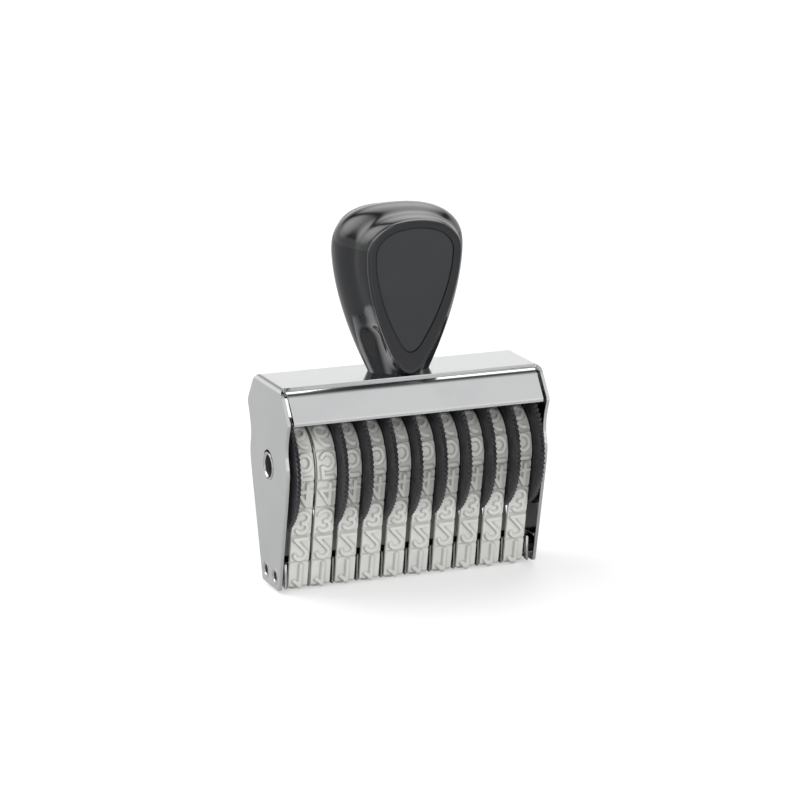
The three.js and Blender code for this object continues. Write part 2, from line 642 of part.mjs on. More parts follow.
function handleBody() {
  const powers = HANDLE_ROUND_SHARES;
  const rings = [];
  for (let step = 0; step < HANDLE_FLANK_STEPS; step += 1) {
    const share = step / HANDLE_FLANK_STEPS;
    const swell = 1 - (1 - share) ** HANDLE_FLANK_POWER;
    const halfWidth = THREE.MathUtils.lerp(HANDLE_NECK_HALF_WIDTH, HANDLE_HALF_WIDTH, swell);
    const halfDepth = THREE.MathUtils.lerp(HANDLE_NECK_HALF_DEPTH, HANDLE_HALF_DEPTH, swell);
    const power = THREE.MathUtils.lerp(powers.neck, powers.widest, share);
    rings.push(handleSection(halfWidth, halfDepth, HANDLE_BASE + share * HANDLE_WIDEST_HEIGHT, power));
  }
  const domeHeight = HANDLE_HEIGHT - HANDLE_WIDEST_HEIGHT;
  for (let step = 0; step < HANDLE_DOME_STEPS; step += 1) {
    const angle = Math.PI / 2 * step / HANDLE_DOME_STEPS;
    const rise = Math.sin(angle) ** (2 / powers.domeWide);
    const halfWidth = HANDLE_HALF_WIDTH * (1 - rise ** powers.domeWide) ** (1 / powers.domeWide);
    const deep = (1 - rise ** powers.domeDeep) ** (1 / powers.domeDeep);
    const halfDepth = HANDLE_HALF_DEPTH * deep;
    const height = HANDLE_BASE + HANDLE_WIDEST_HEIGHT + domeHeight * rise;
    rings.push(handleSection(halfWidth, halfDepth, height, powers.widest));
  }
  const footCentre = new THREE.Vector3(0, 0, HANDLE_BASE);
  const topCentre = new THREE.Vector3(0, 0, HANDLE_BASE + HANDLE_HEIGHT);
  return solidOf(loft(rings, footCentre, topCentre));
}

// Teardrop outline of the oval panels, drawn as (x, z), with a border left free all round.
function teardropShape(border, footBorder) {
  const shares = PANEL_CURVE_SHARES;
  const top = HANDLE_BASE + PANEL_TOP_HEIGHT - border;
  const widest = HANDLE_BASE + PANEL_WIDEST_HEIGHT;
  const tip = HANDLE_BASE + PANEL_TIP_HEIGHT + footBorder;
  const half = PANEL_HALF_WIDTH - border;
  const tipHalf = PANEL_TIP_HALF_WIDTH * half / PANEL_HALF_WIDTH;
  const tipTop = tip + PANEL_TIP_RISE;
  const flank = widest - tipTop;
  const path = new THREE.Path();
  path.moveTo(0, top);
  path.bezierCurveTo(half * shares.crown, top, half, widest + (top - widest) * shares.shoulder, half, widest);
  path.bezierCurveTo(
    half, widest - flank * shares.flank,
    tipHalf + (half - tipHalf) * shares.taperWidth, tipTop + flank * shares.taperHeight,
    tipHalf, tipTop,
  );
  path.quadraticCurveTo(tipHalf / 2, tip, 0, tip);
  const right = path.getPoints(PANEL_CURVE_STEPS);
  const left = right.slice(1, -1).map((point) => vector(-point.x, point.y)).reverse();
  return new THREE.Shape([...right, ...left]);
}

// Everything between the middle of the handle and a panel's leaning face, less the given depth.
function panelCore(front, depth) {
  const low = HANDLE_BASE - CUT_OVERRUN;
  const high = HANDLE_BASE + HANDLE_HEIGHT + CUT_OVERRUN;
  const faceAt = (z) => PANEL_FOOT_DEPTH + (z - HANDLE_BASE) * PANEL_LEAN - depth;
  const shape = new THREE.Shape([
    vector(0, low),
    vector(-front * faceAt(low), low),
    vector(-front * faceAt(high), high),
    vector(0, high),
  ]);
  const reach = HANDLE_HALF_WIDTH + CUT_OVERRUN;
  return solidOf(alongX(shape, -reach, reach));
}

function panelPrism(front, border, footBorder) {
  const reach = PANEL_FOOT_DEPTH + HANDLE_HEIGHT * PANEL_LEAN + CUT_OVERRUN;
  const ends = [0, -front * reach].sort((a, b) => a - b);
  return solidOf(alongY(teardropShape(border, footBorder), ends[0], ends[1]));
}

// Finger flutes: shallow troughs with a rounded upper end, down the lower corners of the handle
function fluteSolid(front, side) {
  const topShare = FLUTE_TOP_HEIGHT / HANDLE_WIDEST_HEIGHT;
  const swell = 1 - (1 - topShare) ** HANDLE_FLANK_POWER;
  const away = vector(Math.cos(FLUTE_TURN), Math.sin(FLUTE_TURN));
  const corner = (halfWidth, halfDepth, height) => new THREE.Vector3(
    side * (halfWidth + FLUTE_RADIUS - FLUTE_DEPTH) * away.x,
    -front * (halfDepth + FLUTE_RADIUS - FLUTE_DEPTH) * away.y,
    height,
  );
  const low = corner(HANDLE_NECK_HALF_WIDTH, HANDLE_NECK_HALF_DEPTH, HANDLE_BASE);
  const high = corner(
    THREE.MathUtils.lerp(HANDLE_NECK_HALF_WIDTH, HANDLE_HALF_WIDTH, swell),
    THREE.MathUtils.lerp(HANDLE_NECK_HALF_DEPTH, HANDLE_HALF_DEPTH, swell),
    HANDLE_BASE + FLUTE_TOP_HEIGHT,
  );
  const length = high.distanceTo(low);
  const profile = [[0, -FLUTE_RADIUS], [FLUTE_RADIUS, -FLUTE_RADIUS]];
  for (let step = 0; step <= BEND_STEPS; step += 1) {
    const angle = Math.PI / 2 * step / BEND_STEPS;
    const radius = step === BEND_STEPS ? 0 : FLUTE_RADIUS * Math.cos(angle);
    profile.push([radius, length + FLUTE_RADIUS * (Math.sin(angle) - 1)]);
  }
  const trough = turned(profile, FLUTE_SIDES, AXIS_Z, new THREE.Vector3());
  const direction = high.clone().sub(low).normalize();
  trough.applyQuaternion(new THREE.Quaternion().setFromUnitVectors(AXIS_Z, direction));
  trough.translate(low.x, low.y, low.z);
  return solidOf(trough);
}

function handleSolid() {
  const body = handleBody();
  const flutes = [[1, 1], [1, -1], [-1, 1], [-1, -1]].map(([front, side]) => fluteSolid(front, side));
  const panels = [1, -1].map((front) => panelPrism(front, 0, 0).intersect(panelCore(front, 0)));
  const pocket = panelPrism(1, INSET_BORDER, INSET_FOOT_BORDER).subtract(panelCore(1, INSET_DEPTH));
  const boreTop = HANDLE_BASE + SCREW_LENGTH;
  const boreRadius = SCREW_RADIUS + SCREW_CLEARANCE;
  const bore = roundBar(boreRadius, CEILING, boreTop, SCREW_SIDES, AXIS_Z, new THREE.Vector3());
  return cutBy(joined([cutBy(body, flutes), ...panels]), [pocket, solidOf(bore)]);
}

addPiece('handle', geometryOf(handleSolid()), HANDLE_PLASTIC);

// Matt inset that fills the pocket in the front panel
function insetSolid() {
  const prism = panelPrism(1, INSET_BORDER + INSET_CLEARANCE, INSET_FOOT_BORDER + INSET_CLEARANCE);
  const face = prism.intersect(panelCore(1, INSET_BELOW_RIM));
  return face.subtract(panelCore(1, INSET_DEPTH - SEAT_GAP));
}

addPiece('handle_inset', geometryOf(insetSolid()), INSET_PLASTIC);

// Screw and washer under the top plate, which hold the handle down
const WASHER_TOP = CEILING - SEAT_GAP;
const WASHER_BOTTOM = WASHER_TOP - WASHER_THICKNESS;
const HEAD_TOP = WASHER_BOTTOM - SEAT_GAP;
const HEAD_BOTTOM = HEAD_TOP - SCREW_HEAD_HEIGHT;
const handleAxis = new THREE.Vector3();
const washerBore = SCREW_RADIUS + SCREW_CLEARANCE;
const washerEnds = [WASHER_BOTTOM, WASHER_TOP];
const washer = washerGeometry(WASHER_RADIUS, washerBore, ...washerEnds, SCREW_SIDES, AXIS_Z, handleAxis);
addPiece('handle_washer', washer, BRIGHT_STEEL);

const screwProfile = [
  [0, HEAD_BOTTOM],
  [(SCREW_RADIUS + SCREW_HEAD_RADIUS) / 2, HEAD_BOTTOM],
  [SCREW_HEAD_RADIUS, (HEAD_BOTTOM + HEAD_TOP) / 2],
  [SCREW_HEAD_RADIUS, HEAD_TOP],
  [SCREW_RADIUS, HEAD_TOP],
  [SCREW_RADIUS, HANDLE_BASE + SCREW_LENGTH - SCREW_RADIUS],
  [0, HANDLE_BASE + SCREW_LENGTH - SEAT_GAP],
];
addPiece('handle_screw', turned(screwProfile, SCREW_SIDES, AXIS_Z, handleAxis), BRIGHT_STEEL);

export default numberingStamp;
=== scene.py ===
# Ten-band hand numbering stamp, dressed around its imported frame.
# The script follows the stamp as it is put together: frame sheet, axle, thumbwheels, bands, spacer,
# platen, guides, rivets, handle, inset, screw. Sizes are in millimetres and turned into metres by MM.
# The front faces -Y.

import math

import bmesh
import bpy
import numpy as np
from mathutils import Matrix, Vector


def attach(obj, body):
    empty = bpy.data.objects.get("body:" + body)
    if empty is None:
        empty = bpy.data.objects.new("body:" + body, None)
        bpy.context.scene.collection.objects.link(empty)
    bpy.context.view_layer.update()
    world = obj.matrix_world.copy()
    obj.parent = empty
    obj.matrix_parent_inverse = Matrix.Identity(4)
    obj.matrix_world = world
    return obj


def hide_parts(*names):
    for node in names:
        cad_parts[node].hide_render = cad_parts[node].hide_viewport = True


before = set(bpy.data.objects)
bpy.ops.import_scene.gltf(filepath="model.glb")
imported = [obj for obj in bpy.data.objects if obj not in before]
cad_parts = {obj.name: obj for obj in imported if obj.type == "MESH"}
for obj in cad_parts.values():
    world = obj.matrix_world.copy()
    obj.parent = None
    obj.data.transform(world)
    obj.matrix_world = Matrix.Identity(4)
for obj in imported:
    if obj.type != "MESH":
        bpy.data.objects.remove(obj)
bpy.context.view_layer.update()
MM = 0.001


# Studio
# A white table top in a pale room with a dark ceiling. Two soft boxes stand behind the stamp, upper left
# and upper right, with a dark gap between them, as its chrome and its gloss show them.
def add_nodes(tree, *kinds):
    return [tree.nodes.new(kind) for kind in kinds]


def ramp(tree, value, low, high, at_low, at_high):
    """A value that goes smoothly from at_low to at_high."""
    step = tree.nodes.new("ShaderNodeMapRange")
    step.interpolation_type = "SMOOTHSTEP"
    for socket, number in zip(step.inputs[1:5], (low, high, at_low, at_high)):
        socket.default_value = number
    tree.links.new(value, step.inputs[0])
    return step.outputs[0]


def combine(tree, operation, first, second):
    """One number from two, each a socket or a plain number."""
    sum_node = tree.nodes.new("ShaderNodeMath")
    sum_node.operation = operation
    for socket, value in zip(sum_node.inputs, (first, second)):
        if isinstance(value, (int, float)):
            socket.default_value = value
        else:
            tree.links.new(value, socket)
    return sum_node.outputs[0]


room = bpy.data.worlds.new("studio_room")
bpy.context.scene.world = room
room.use_nodes = True
tree = room.node_tree
tree.nodes.clear()
direction, parts, background, output = add_nodes(
    tree, "ShaderNodeTexCoord", "ShaderNodeSeparateXYZ", "ShaderNodeBackground", "ShaderNodeOutputWorld")
tree.links.new(direction.outputs["Generated"], parts.inputs[0])
_, north, up = parts.outputs
backdrop = ramp(tree, up, 0.30, 0.46, 1.05, 0.10)
ceiling = ramp(tree, north, -0.56, 0.06, 0.95, 0.0)
front_wall = ramp(tree, up, 0.0, 0.50, 1.20, 1.0)
walls = combine(tree, "MAXIMUM", backdrop, combine(tree, "MULTIPLY", ceiling, front_wall))


def toward(place):
    """How far a direction agrees with the given one, from -1 to 1."""
    agreement = tree.nodes.new("ShaderNodeVectorMath")
    agreement.operation = "DOT_PRODUCT"
    agreement.inputs[1].default_value = place
    tree.links.new(direction.outputs["Generated"], agreement.inputs[0])
    return agreement.outputs["Value"]


LEFT_BOX = (-0.526, 0.369, 0.766)
RIGHT_BOX = (0.36, 0.623, 0.695)
ACROSS_GAP = (0.968, 0.214, -0.132)
left_box = ramp(tree, toward(LEFT_BOX), 0.76, 1.03, 0.0, 4.4)
right_box = ramp(tree, toward(RIGHT_BOX), 0.875, 0.995, 0.0, 2.6)
dark_gap = ramp(tree, combine(tree, "ABSOLUTE", toward(ACROSS_GAP), 0.0), 0.02, 0.13, 0.0, 1.0)
boxes = combine(tree, "MULTIPLY", combine(tree, "ADD", left_box, right_box), dark_gap)
glow = combine(tree, "ADD", walls, boxes)
path = tree.nodes.new("ShaderNodeLightPath")
unseen = combine(tree, "SUBTRACT", 1.0, path.outputs["Is Camera Ray"])
glow = combine(tree, "ADD", combine(tree, "MULTIPLY", glow, unseen), path.outputs["Is Camera Ray"])
tree.links.new(glow, background.inputs["Strength"])
background.inputs["Color"].default_value = (1.0, 1.0, 1.0, 1.0)
tree.links.new(background.outputs[0], output.inputs[0])

floor_mesh = bpy.data.meshes.new("table_top")
floor_shape = bmesh.new()
bmesh.ops.create_grid(floor_shape, x_segments=8, y_segments=8, size=12.0)
floor_shape.to_mesh(floor_mesh)
floor_shape.free()
table_top = bpy.data.objects.new("table_top", floor_mesh)
bpy.context.scene.collection.objects.link(table_top)

PAPER_GREY = 0.50
PAPER_LIFT = 0.44
paper = bpy.data.materials.new("white_paper")
paper.use_nodes = True
tree = paper.node_tree
surface = tree.nodes["Principled BSDF"]
surface.inputs["Base Color"].default_value = (PAPER_GREY, PAPER_GREY, PAPER_GREY, 1.0)
surface.inputs["Roughness"].default_value = 0.7
surface.inputs["Specular IOR Level"].default_value = 0.1
surface.inputs["Emission Strength"].default_value = 1.0
path, lift = add_nodes(tree, "ShaderNodeLightPath", "ShaderNodeCombineColor")
seen = combine(tree, "MAXIMUM", path.outputs["Is Camera Ray"], path.outputs["Is Transmission Ray"])
seen = combine(tree, "MULTIPLY", seen, PAPER_LIFT)
for socket in lift.inputs:
    tree.links.new(seen, socket)
tree.links.new(lift.outputs[0], surface.inputs["Emission Color"])
floor_mesh.materials.append(paper)

LAMP_SIZE = 0.8
LAMP_WATTS = 7.5
LAMP_AIM = (0.0, 0.0, 0.06)


def soft_light(name, place):
    lamp = bpy.data.lights.new(name, "AREA")
    lamp.shape = "RECTANGLE"
    lamp.size = LAMP_SIZE
    lamp.size_y = LAMP_SIZE
    lamp.energy = LAMP_WATTS
    holder = bpy.data.objects.new(name, lamp)
    bpy.context.scene.collection.objects.link(holder)
    holder.location = place
    aim = Vector(LAMP_AIM) - holder.location
    holder.rotation_euler = aim.to_track_quat("-Z", "Y").to_euler()
    holder.visible_glossy = False


soft_light("light_left", (-0.85, -1.25, 0.40))
soft_light("light_right", (0.70, -1.35, 0.34))

FOCAL_LENGTH = 148.7
SENSOR_WIDTH = 36.0
lens = bpy.data.cameras.new("camera")
lens.lens = FOCAL_LENGTH
lens.sensor_width = SENSOR_WIDTH
lens.clip_start = 0.05
lens.clip_end = 60.0
camera = bpy.data.objects.new("camera", lens)
bpy.context.scene.collection.objects.link(camera)
camera.matrix_world = Matrix((
    (0.92986, 0.09467, -0.35553, -0.36313),
    (-0.36781, 0.21616, -0.90443, -0.92502),
    (-0.00877, 0.97176, 0.23582, 0.29671),
    (0.0, 0.0, 0.0, 1.0),
))
bpy.context.scene.camera = camera
bpy.context.scene.view_settings.view_transform = "Standard"


# Frame
# One strip of steel sheet, chromed after bending: the top plate, two side plates that reach down to the
# platen, and a sloping flange with a narrow upright lip along the front and the back.
SHEET = 1.0
AXLE_HEIGHT = 39.0
FRAME_TOP = 64.5
OUTER_HALF_WIDTH = 42.0
SIDE_BEND = 0.9
FLANGE_BEND = 4.0
FLANGE_GAP = 0.12
LIP_BEND = 1.6
EDGE_ROUND = 0.12
TOP_HALF_DEPTH = 12.4
SHOULDER_HALF_DEPTH = 18.3
SLOPE_DROP = 8.2
SHOULDER_HEIGHT = 55.2
RIVET_SPREAD = 4.1
RIVET_HEIGHT = 4.9
RIVET_HOLE = 1.8
AXLE_HOLE = 4.5
AXLE_HOLE_HEIGHT = AXLE_HEIGHT + 0.6


def piece(name, points, faces, slot, *nodes, body="root"):
    """A mesh of the given points, in millimetres, that stands for CAD nodes."""
    mesh = bpy.data.meshes.new(name)
    mesh.from_pydata([tuple(MM * value for value in point) for point in points], [], faces)
    mesh.update()
    made = bpy.data.objects.new(name, mesh)
    bpy.context.scene.collection.objects.link(made)
    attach(made, body)
    if nodes:
        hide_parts(*nodes)
    return made


def outward(made):
    """Turns all faces of a closed mesh outward."""
    shape = bmesh.new()
    shape.from_mesh(made.data)
    bmesh.ops.recalc_face_normals(shape, faces=shape.faces)
    shape.to_mesh(made.data)
    shape.free()


def smooth(made, degrees):
    """Smooth shading, with edges above the angle kept sharp."""
    made.data.polygons.foreach_set("use_smooth", [True] * len(made.data.polygons))
    made.data.set_sharp_from_angle(angle=math.radians(degrees))
    made.data.update()


def settle(made):
    """Makes the modifiers part of the mesh."""
    ready = made.evaluated_get(bpy.context.evaluated_depsgraph_get())
    mesh = bpy.data.meshes.new_from_object(ready)
    made.modifiers.clear()
    made.data = mesh


def soften_edges(made, width):
    """Small round edges, with the flat faces still shaded flat."""
    bevel = made.modifiers.new("edges", "BEVEL")
    bevel.width = width * MM
    bevel.segments = 2
    bevel.limit_method = "ANGLE"
    bevel.angle_limit = math.radians(40)
    made.modifiers.new("shading", "WEIGHTED_NORMAL").keep_sharp = True
    smooth(made, 60)
    settle(made)


def curve(start, first, second, end, steps):
    """Points of a cubic curve, without its start."""
    points = []
    for step in range(1, steps + 1):
        share = step / steps
        rest = 1 - share
        weights = (rest ** 3, 3 * rest ** 2 * share, 3 * rest * share ** 2, share ** 3)
        points.append(tuple(
            sum(weight * point[axis] for weight, point in zip(weights, (start, first, second, end)))
            for axis in range(2)))
    return points


def side_outline():
    """Half widths and heights of a side plate, from the bend down to the foot."""
    waist = (15.8, SHOULDER_HEIGHT - 8.7)
    bulge = (16.8, AXLE_HEIGHT + 0.9)
    knee = (16.8, AXLE_HEIGHT - 1.3)
    foot = (7.4, 1.0)
    ease = tuple(k + (f - k) * 0.24 for k, f in zip(knee, foot))
    shoulder = (SHOULDER_HALF_DEPTH, SHOULDER_HEIGHT)
    rise = SHOULDER_HEIGHT - waist[1]
    points = [(SHOULDER_HALF_DEPTH, FRAME_TOP - SLOPE_DROP), shoulder]
    points += curve(shoulder, ((shoulder[0] + waist[0]) / 2, shoulder[1] - rise / 3),
                    (waist[0], waist[1] + rise / 3), waist, 10)
    middle = (waist[1] + bulge[1]) / 2
    points += curve(waist, (waist[0], middle), (bulge[0], middle), bulge, 10)
    points += curve(bulge, tuple(b + (k - b) * 2 / 3 for b, k in zip(bulge, knee)),
                    tuple(e + (k - e) * 2 / 3 for e, k in zip(ease, knee)), ease, 8)
    span = math.dist(foot, ease)
    corner = tuple(f + (e - f) * 1.6 / span for f, e in zip(foot, ease))
    points.append(corner)
    points += curve(corner, foot, foot, (foot[0] - 1.6, foot[1]), 6)
    return points


TURN = math.atan2(SLOPE_DROP, SHOULDER_HALF_DEPTH - TOP_HALF_DEPTH)
PLATE_X = OUTER_HALF_WIDTH - SIDE_BEND
PLATE_Y = TOP_HALF_DEPTH - FLANGE_BEND * math.tan(TURN / 2)


def half_depth_at(z):
    """Half depth of the outer skin between the top plate and the end of the slope."""
    drop = FRAME_TOP - z
    if drop < FLANGE_BEND * (1 - math.cos(TURN)):
        return PLATE_Y + FLANGE_BEND * math.sin(math.acos(1 - drop / FLANGE_BEND))
    return TOP_HALF_DEPTH + drop * (SHOULDER_HALF_DEPTH - TOP_HALF_DEPTH) / SLOPE_DROP


def frame_sheet():
    """The outer skin of the frame as an open net: the top plate, the two sides and the two flanges."""
    points, faces = [], []

    def row(*places):
        first = len(points)
        points.extend(places)
        return list(range(first, first + len(places)))

    def strip(rows):
        for upper, lower in zip(rows, rows[1:]):
            for left in range(len(upper) - 1):
                faces.append((upper[left], lower[left], lower[left + 1], upper[left + 1]))

    corners = {(sx, sy): row((sx * PLATE_X, sy * PLATE_Y, FRAME_TOP))[0]
               for sx in (-1, 1) for sy in (-1, 1)}
    faces.append((corners[-1, -1], corners[1, -1], corners[1, 1], corners[-1, 1]))
    for side in (-1, 1):
        rows = [[corners[side, side], corners[side, -side]]]
        for step in range(1, 11):
            angle = math.pi / 2 * step / 10
            z = FRAME_TOP - SIDE_BEND * (1 - math.cos(angle))
            x = side * (PLATE_X + SIDE_BEND * math.sin(angle))
            rows.append(row((x, side * half_depth_at(z), z), (x, -side * half_depth_at(z), z)))
        x = side * OUTER_HALF_WIDTH
        bend_foot = FRAME_TOP - FLANGE_BEND * (1 - math.cos(TURN))
        for half, z in [(half_depth_at(bend_foot), bend_foot)] + side_outline():
            rows.append(row((x, side * half, z), (x, -side * half, z)))
        strip(rows)
    lip_turn = math.pi / 2 - TURN
    lip_setback = LIP_BEND * math.tan(lip_turn / 2)
    flange_end = OUTER_HALF_WIDTH - SHEET - FLANGE_GAP
    for front in (-1, 1):
        rows = [[corners[-front, front], corners[front, front]]]
        for step in range(1, 13):
            angle = TURN * step / 12
            y = PLATE_Y + FLANGE_BEND * math.sin(angle)
            z = FRAME_TOP - FLANGE_BEND * (1 - math.cos(angle))
            end = PLATE_X + (flange_end - PLATE_X) * min(1, step / 6)
            rows.append(row(*((x, front * y, z) for x in (-end, end)[::-front])))
        knee_y = SHOULDER_HALF_DEPTH - lip_setback * math.cos(TURN)
        knee_z = FRAME_TOP - SLOPE_DROP + lip_setback * math.sin(TURN)
        centre_y = knee_y - LIP_BEND * math.sin(TURN)
        centre_z = knee_z - LIP_BEND * math.cos(TURN)
        for step in range(0, 7):
            angle = TURN + lip_turn * step / 6
            y = centre_y + LIP_BEND * math.sin(angle)
            z = centre_z + LIP_BEND * math.cos(angle)
            rows.append(row(*((x, front * y, z) for x in (-flange_end, flange_end)[::-front])))
        y = front * SHOULDER_HALF_DEPTH
        rows.append(row(*((x, y, SHOULDER_HEIGHT) for x in (-flange_end, flange_end)[::-front])))
        strip(rows)
    return points, faces


def bar(radius, y, z):
    """Points and faces of a round bar along X that is longer than the stamp is wide."""
    sides = 48
    ring = [(y + radius * math.cos(2 * math.pi * k / sides), z + radius * math.sin(2 * math.pi * k / sides))
            for k in range(sides)]
    points = [(x, py, pz) for x in (-45, 45) for py, pz in ring]
    faces = [(k, (k + 1) % sides, sides + (k + 1) % sides, sides + k) for k in range(sides)]
    faces += [tuple(range(sides)), tuple(range(2 * sides - 1, sides - 1, -1))]
    return points, faces


def joined_shapes(shapes):
    """Points and faces of several shapes as those of one."""
    points, faces = [], []
    for more_points, more_faces in shapes:
        faces += [tuple(len(points) + corner for corner in face) for face in more_faces]
        points += more_points
    return points, faces


def carve(made, shapes):
    """Cuts the given shapes out of a piece."""
    tool = piece("tool", *joined_shapes(shapes), "chromed_sheet")
    outward(tool)
    cut = made.modifiers.new("cut", "BOOLEAN")
    cut.operation = "DIFFERENCE"
    cut.solver = "EXACT"
    cut.object = tool
    settle(made)
    bpy.data.objects.remove(tool)


frame_sheet_piece = piece("frame_sheet", *frame_sheet(), "chromed_sheet", "frame")
thickness = frame_sheet_piece.modifiers.new("sheet", "SOLIDIFY")
thickness.thickness = SHEET * MM
thickness.offset = -1.0
thickness.use_even_offset = True
settle(frame_sheet_piece)
carve(frame_sheet_piece, [bar(AXLE_HOLE, 0, AXLE_HOLE_HEIGHT)] + [
    bar(RIVET_HOLE, y, RIVET_HEIGHT) for y in (-RIVET_SPREAD, RIVET_SPREAD)])
soften_edges(frame_sheet_piece, EDGE_ROUND)


def new_group(name, inputs, outputs):
    group = bpy.data.node_groups.new(name, "ShaderNodeTree")
    for label, value in inputs.items():
        socket = group.interface.new_socket(name=label, in_out="INPUT", socket_type="NodeSocketFloat")
        socket.default_value = value
    for label, kind in outputs.items():
        group.interface.new_socket(name=label, in_out="OUTPUT", socket_type=kind)
    return group, *add_nodes(group, "NodeGroupInput", "NodeGroupOutput")


def noise(tree, place, scale, detail, roughness=0.5):
    """Cloudy noise over the object's own coordinates, at the scale that a socket gives."""
    cloud = tree.nodes.new("ShaderNodeTexNoise")
    cloud.inputs["Detail"].default_value = detail
    cloud.inputs["Roughness"].default_value = roughness
    tree.links.new(place, cloud.inputs["Vector"])
    tree.links.new(scale, cloud.inputs["Scale"])
    return cloud.outputs["Fac"]


# Handling marks: broad faint smudges, and a fine grain, for every finish of the stamp.
marks, given, shown = new_group(
    "handling_marks", {"Smudge Scale": 60.0, "Grain Scale": 2500.0},
    {"Smudge": "NodeSocketFloat", "Grain": "NodeSocketFloat"})
where = marks.nodes.new("ShaderNodeTexCoord").outputs["Object"]
smudge = ramp(marks, noise(marks, where, given.outputs["Smudge Scale"], 4.0, 0.6), 0.35, 0.70, 0.0, 1.0)
marks.links.new(smudge, shown.inputs["Smudge"])
marks.links.new(noise(marks, where, given.outputs["Grain Scale"], 2.0), shown.inputs["Grain"])


def finish(name, colour, second_colour, roughness, metallic, smudge_scale, grain_scale, bump, **plain):
    """A material whose colour and roughness drift between two values along the handling marks."""
    material = bpy.data.materials.new(name)
    material.use_nodes = True
    tree = material.node_tree
    shader = tree.nodes["Principled BSDF"]
    shader.inputs["Metallic"].default_value = metallic
    for label, value in plain.items():
        shader.inputs[label.replace("_", " ")].default_value = value
    used, blend, relief = add_nodes(tree, "ShaderNodeGroup", "ShaderNodeMix", "ShaderNodeBump")
    used.node_tree = marks
    used.inputs["Smudge Scale"].default_value = smudge_scale
    used.inputs["Grain Scale"].default_value = grain_scale
    blend.data_type = "RGBA"
    blend.inputs[6].default_value = (*colour, 1.0)
    blend.inputs[7].default_value = (*second_colour, 1.0)
    tree.links.new(used.outputs["Smudge"], blend.inputs[0])
    tree.links.new(blend.outputs[2], shader.inputs["Base Color"])
    tree.links.new(ramp(tree, used.outputs["Smudge"], 0.0, 1.0, *roughness), shader.inputs["Roughness"])
    relief.inputs["Strength"].default_value = bump[0]
    relief.inputs["Distance"].default_value = bump[1] * MM
    tree.links.new(used.outputs["Grain"], relief.inputs["Height"])
    tree.links.new(relief.outputs[0], shader.inputs["Normal"])
    return material


chrome = finish("chromed_sheet", (0.63, 0.635, 0.64), (0.60, 0.605, 0.61), (0.09, 0.14), 1.0,
                45.0, 900.0, (0.10, 0.01))
frame_sheet_piece.data.materials.append(chrome)


# Axle
# A tube rolled from steel sheet, with its open seam below. Its ends are flared over the side plates.
AXLE_RADIUS = 3.5
AXLE_BORE = 2.7
SEAM_HALF_WIDTH = 0.5
# Inside this radius the axle's bore is given near-black steel, as painted shade.
SHADED_AXLE_BORE_RADIUS = 3.42
SEAT = OUTER_HALF_WIDTH + 0.1


def lathe(profile, sides, centre, start=0.0, sweep=2 * math.pi):
    """Points and faces of a closed (x, radius) profile turned about the X axis through the centre.
    A sweep of less than a full turn leaves a slit, with the profile as its two walls."""
    full = sweep >= 2 * math.pi - 1e-9
    turns = sides if full else sides + 1
    points = []
    for k in range(turns):
        angle = start + sweep * k / sides
        for x, radius in profile:
            points.append((centre[0] + x, centre[1] + radius * math.cos(angle),
                           centre[2] + radius * math.sin(angle)))
    count = len(profile)
    faces = []
    for k in range(sides):
        other = (k + 1) % turns
        for j in range(count):
            nxt = (j + 1) % count
            faces.append((k * count + j, k * count + nxt, other * count + nxt, other * count + j))
    if not full:
        faces.append(tuple(range(count)))
        faces.append(tuple(range(turns * count - 1, (turns - 1) * count - 1, -1)))
    return points, faces


def flared_end(side):
    """Outline of one end of the tube, from its outside over the flare into the bore."""
    rim = [(SEAT, AXLE_RADIUS), (SEAT + 0.1, 4.0), (SEAT + 0.35, 4.35), (SEAT + 0.75, 4.5),
           (SEAT + 1.1, 4.35), (SEAT + 1.22, 4.05), (SEAT + 1.1, 3.7), (SEAT + 0.7, 3.4),
           (SEAT, 3.15), (SEAT - 1.2, AXLE_BORE)]
    return [(side * x, radius) for x, radius in rim]


def dress(made, degrees, material):
    """Turns all faces outward, shades them smooth up to an angle, and gives them their finish."""
    outward(made)
    smooth(made, degrees)
    made.data.materials.append(material)


def shade_bore(made, radius, y, z):
    """Gives the faces within a radius of a line along X a near-black steel finish, painted shade inside the
    bore.
    """
    made.data.materials.append(bore_shade_steel)
    for face in made.data.polygons:
        corners = [made.data.vertices[corner].co for corner in face.vertices]
        radii = [math.hypot(corner.y - y * MM, corner.z - z * MM) for corner in corners]
        face.material_index = 1 if max(radii) < radius * MM else 0


bright_steel = finish("bright_steel", (0.56, 0.56, 0.555), (0.46, 0.46, 0.45), (0.09, 0.20), 1.0,
                      220.0, 3000.0, (0.25, 0.01))
# Near-black steel for the insides of bores: painted shade where the hollow is dark.
bore_shade_steel = finish("bore_shade_steel", (0.030, 0.029, 0.028), (0.016, 0.016, 0.016), (0.35, 0.50), 0.6,
                     300.0, 3000.0, (0.25, 0.01))
axle_profile = flared_end(1) + flared_end(-1)[::-1]
slit = 2 * math.asin(SEAM_HALF_WIDTH / AXLE_RADIUS)
axle = piece("axle_tube",
             *lathe(axle_profile, 72, (0, 0, AXLE_HEIGHT), -math.pi / 2 + slit / 2, 2 * math.pi - slit),
             "bright_steel", "wheel_axle")
dress(axle, 45, bright_steel)
# Painted shade inside the axle's bore.
shade_bore(axle, SHADED_AXLE_BORE_RADIUS, 0, AXLE_HEIGHT)


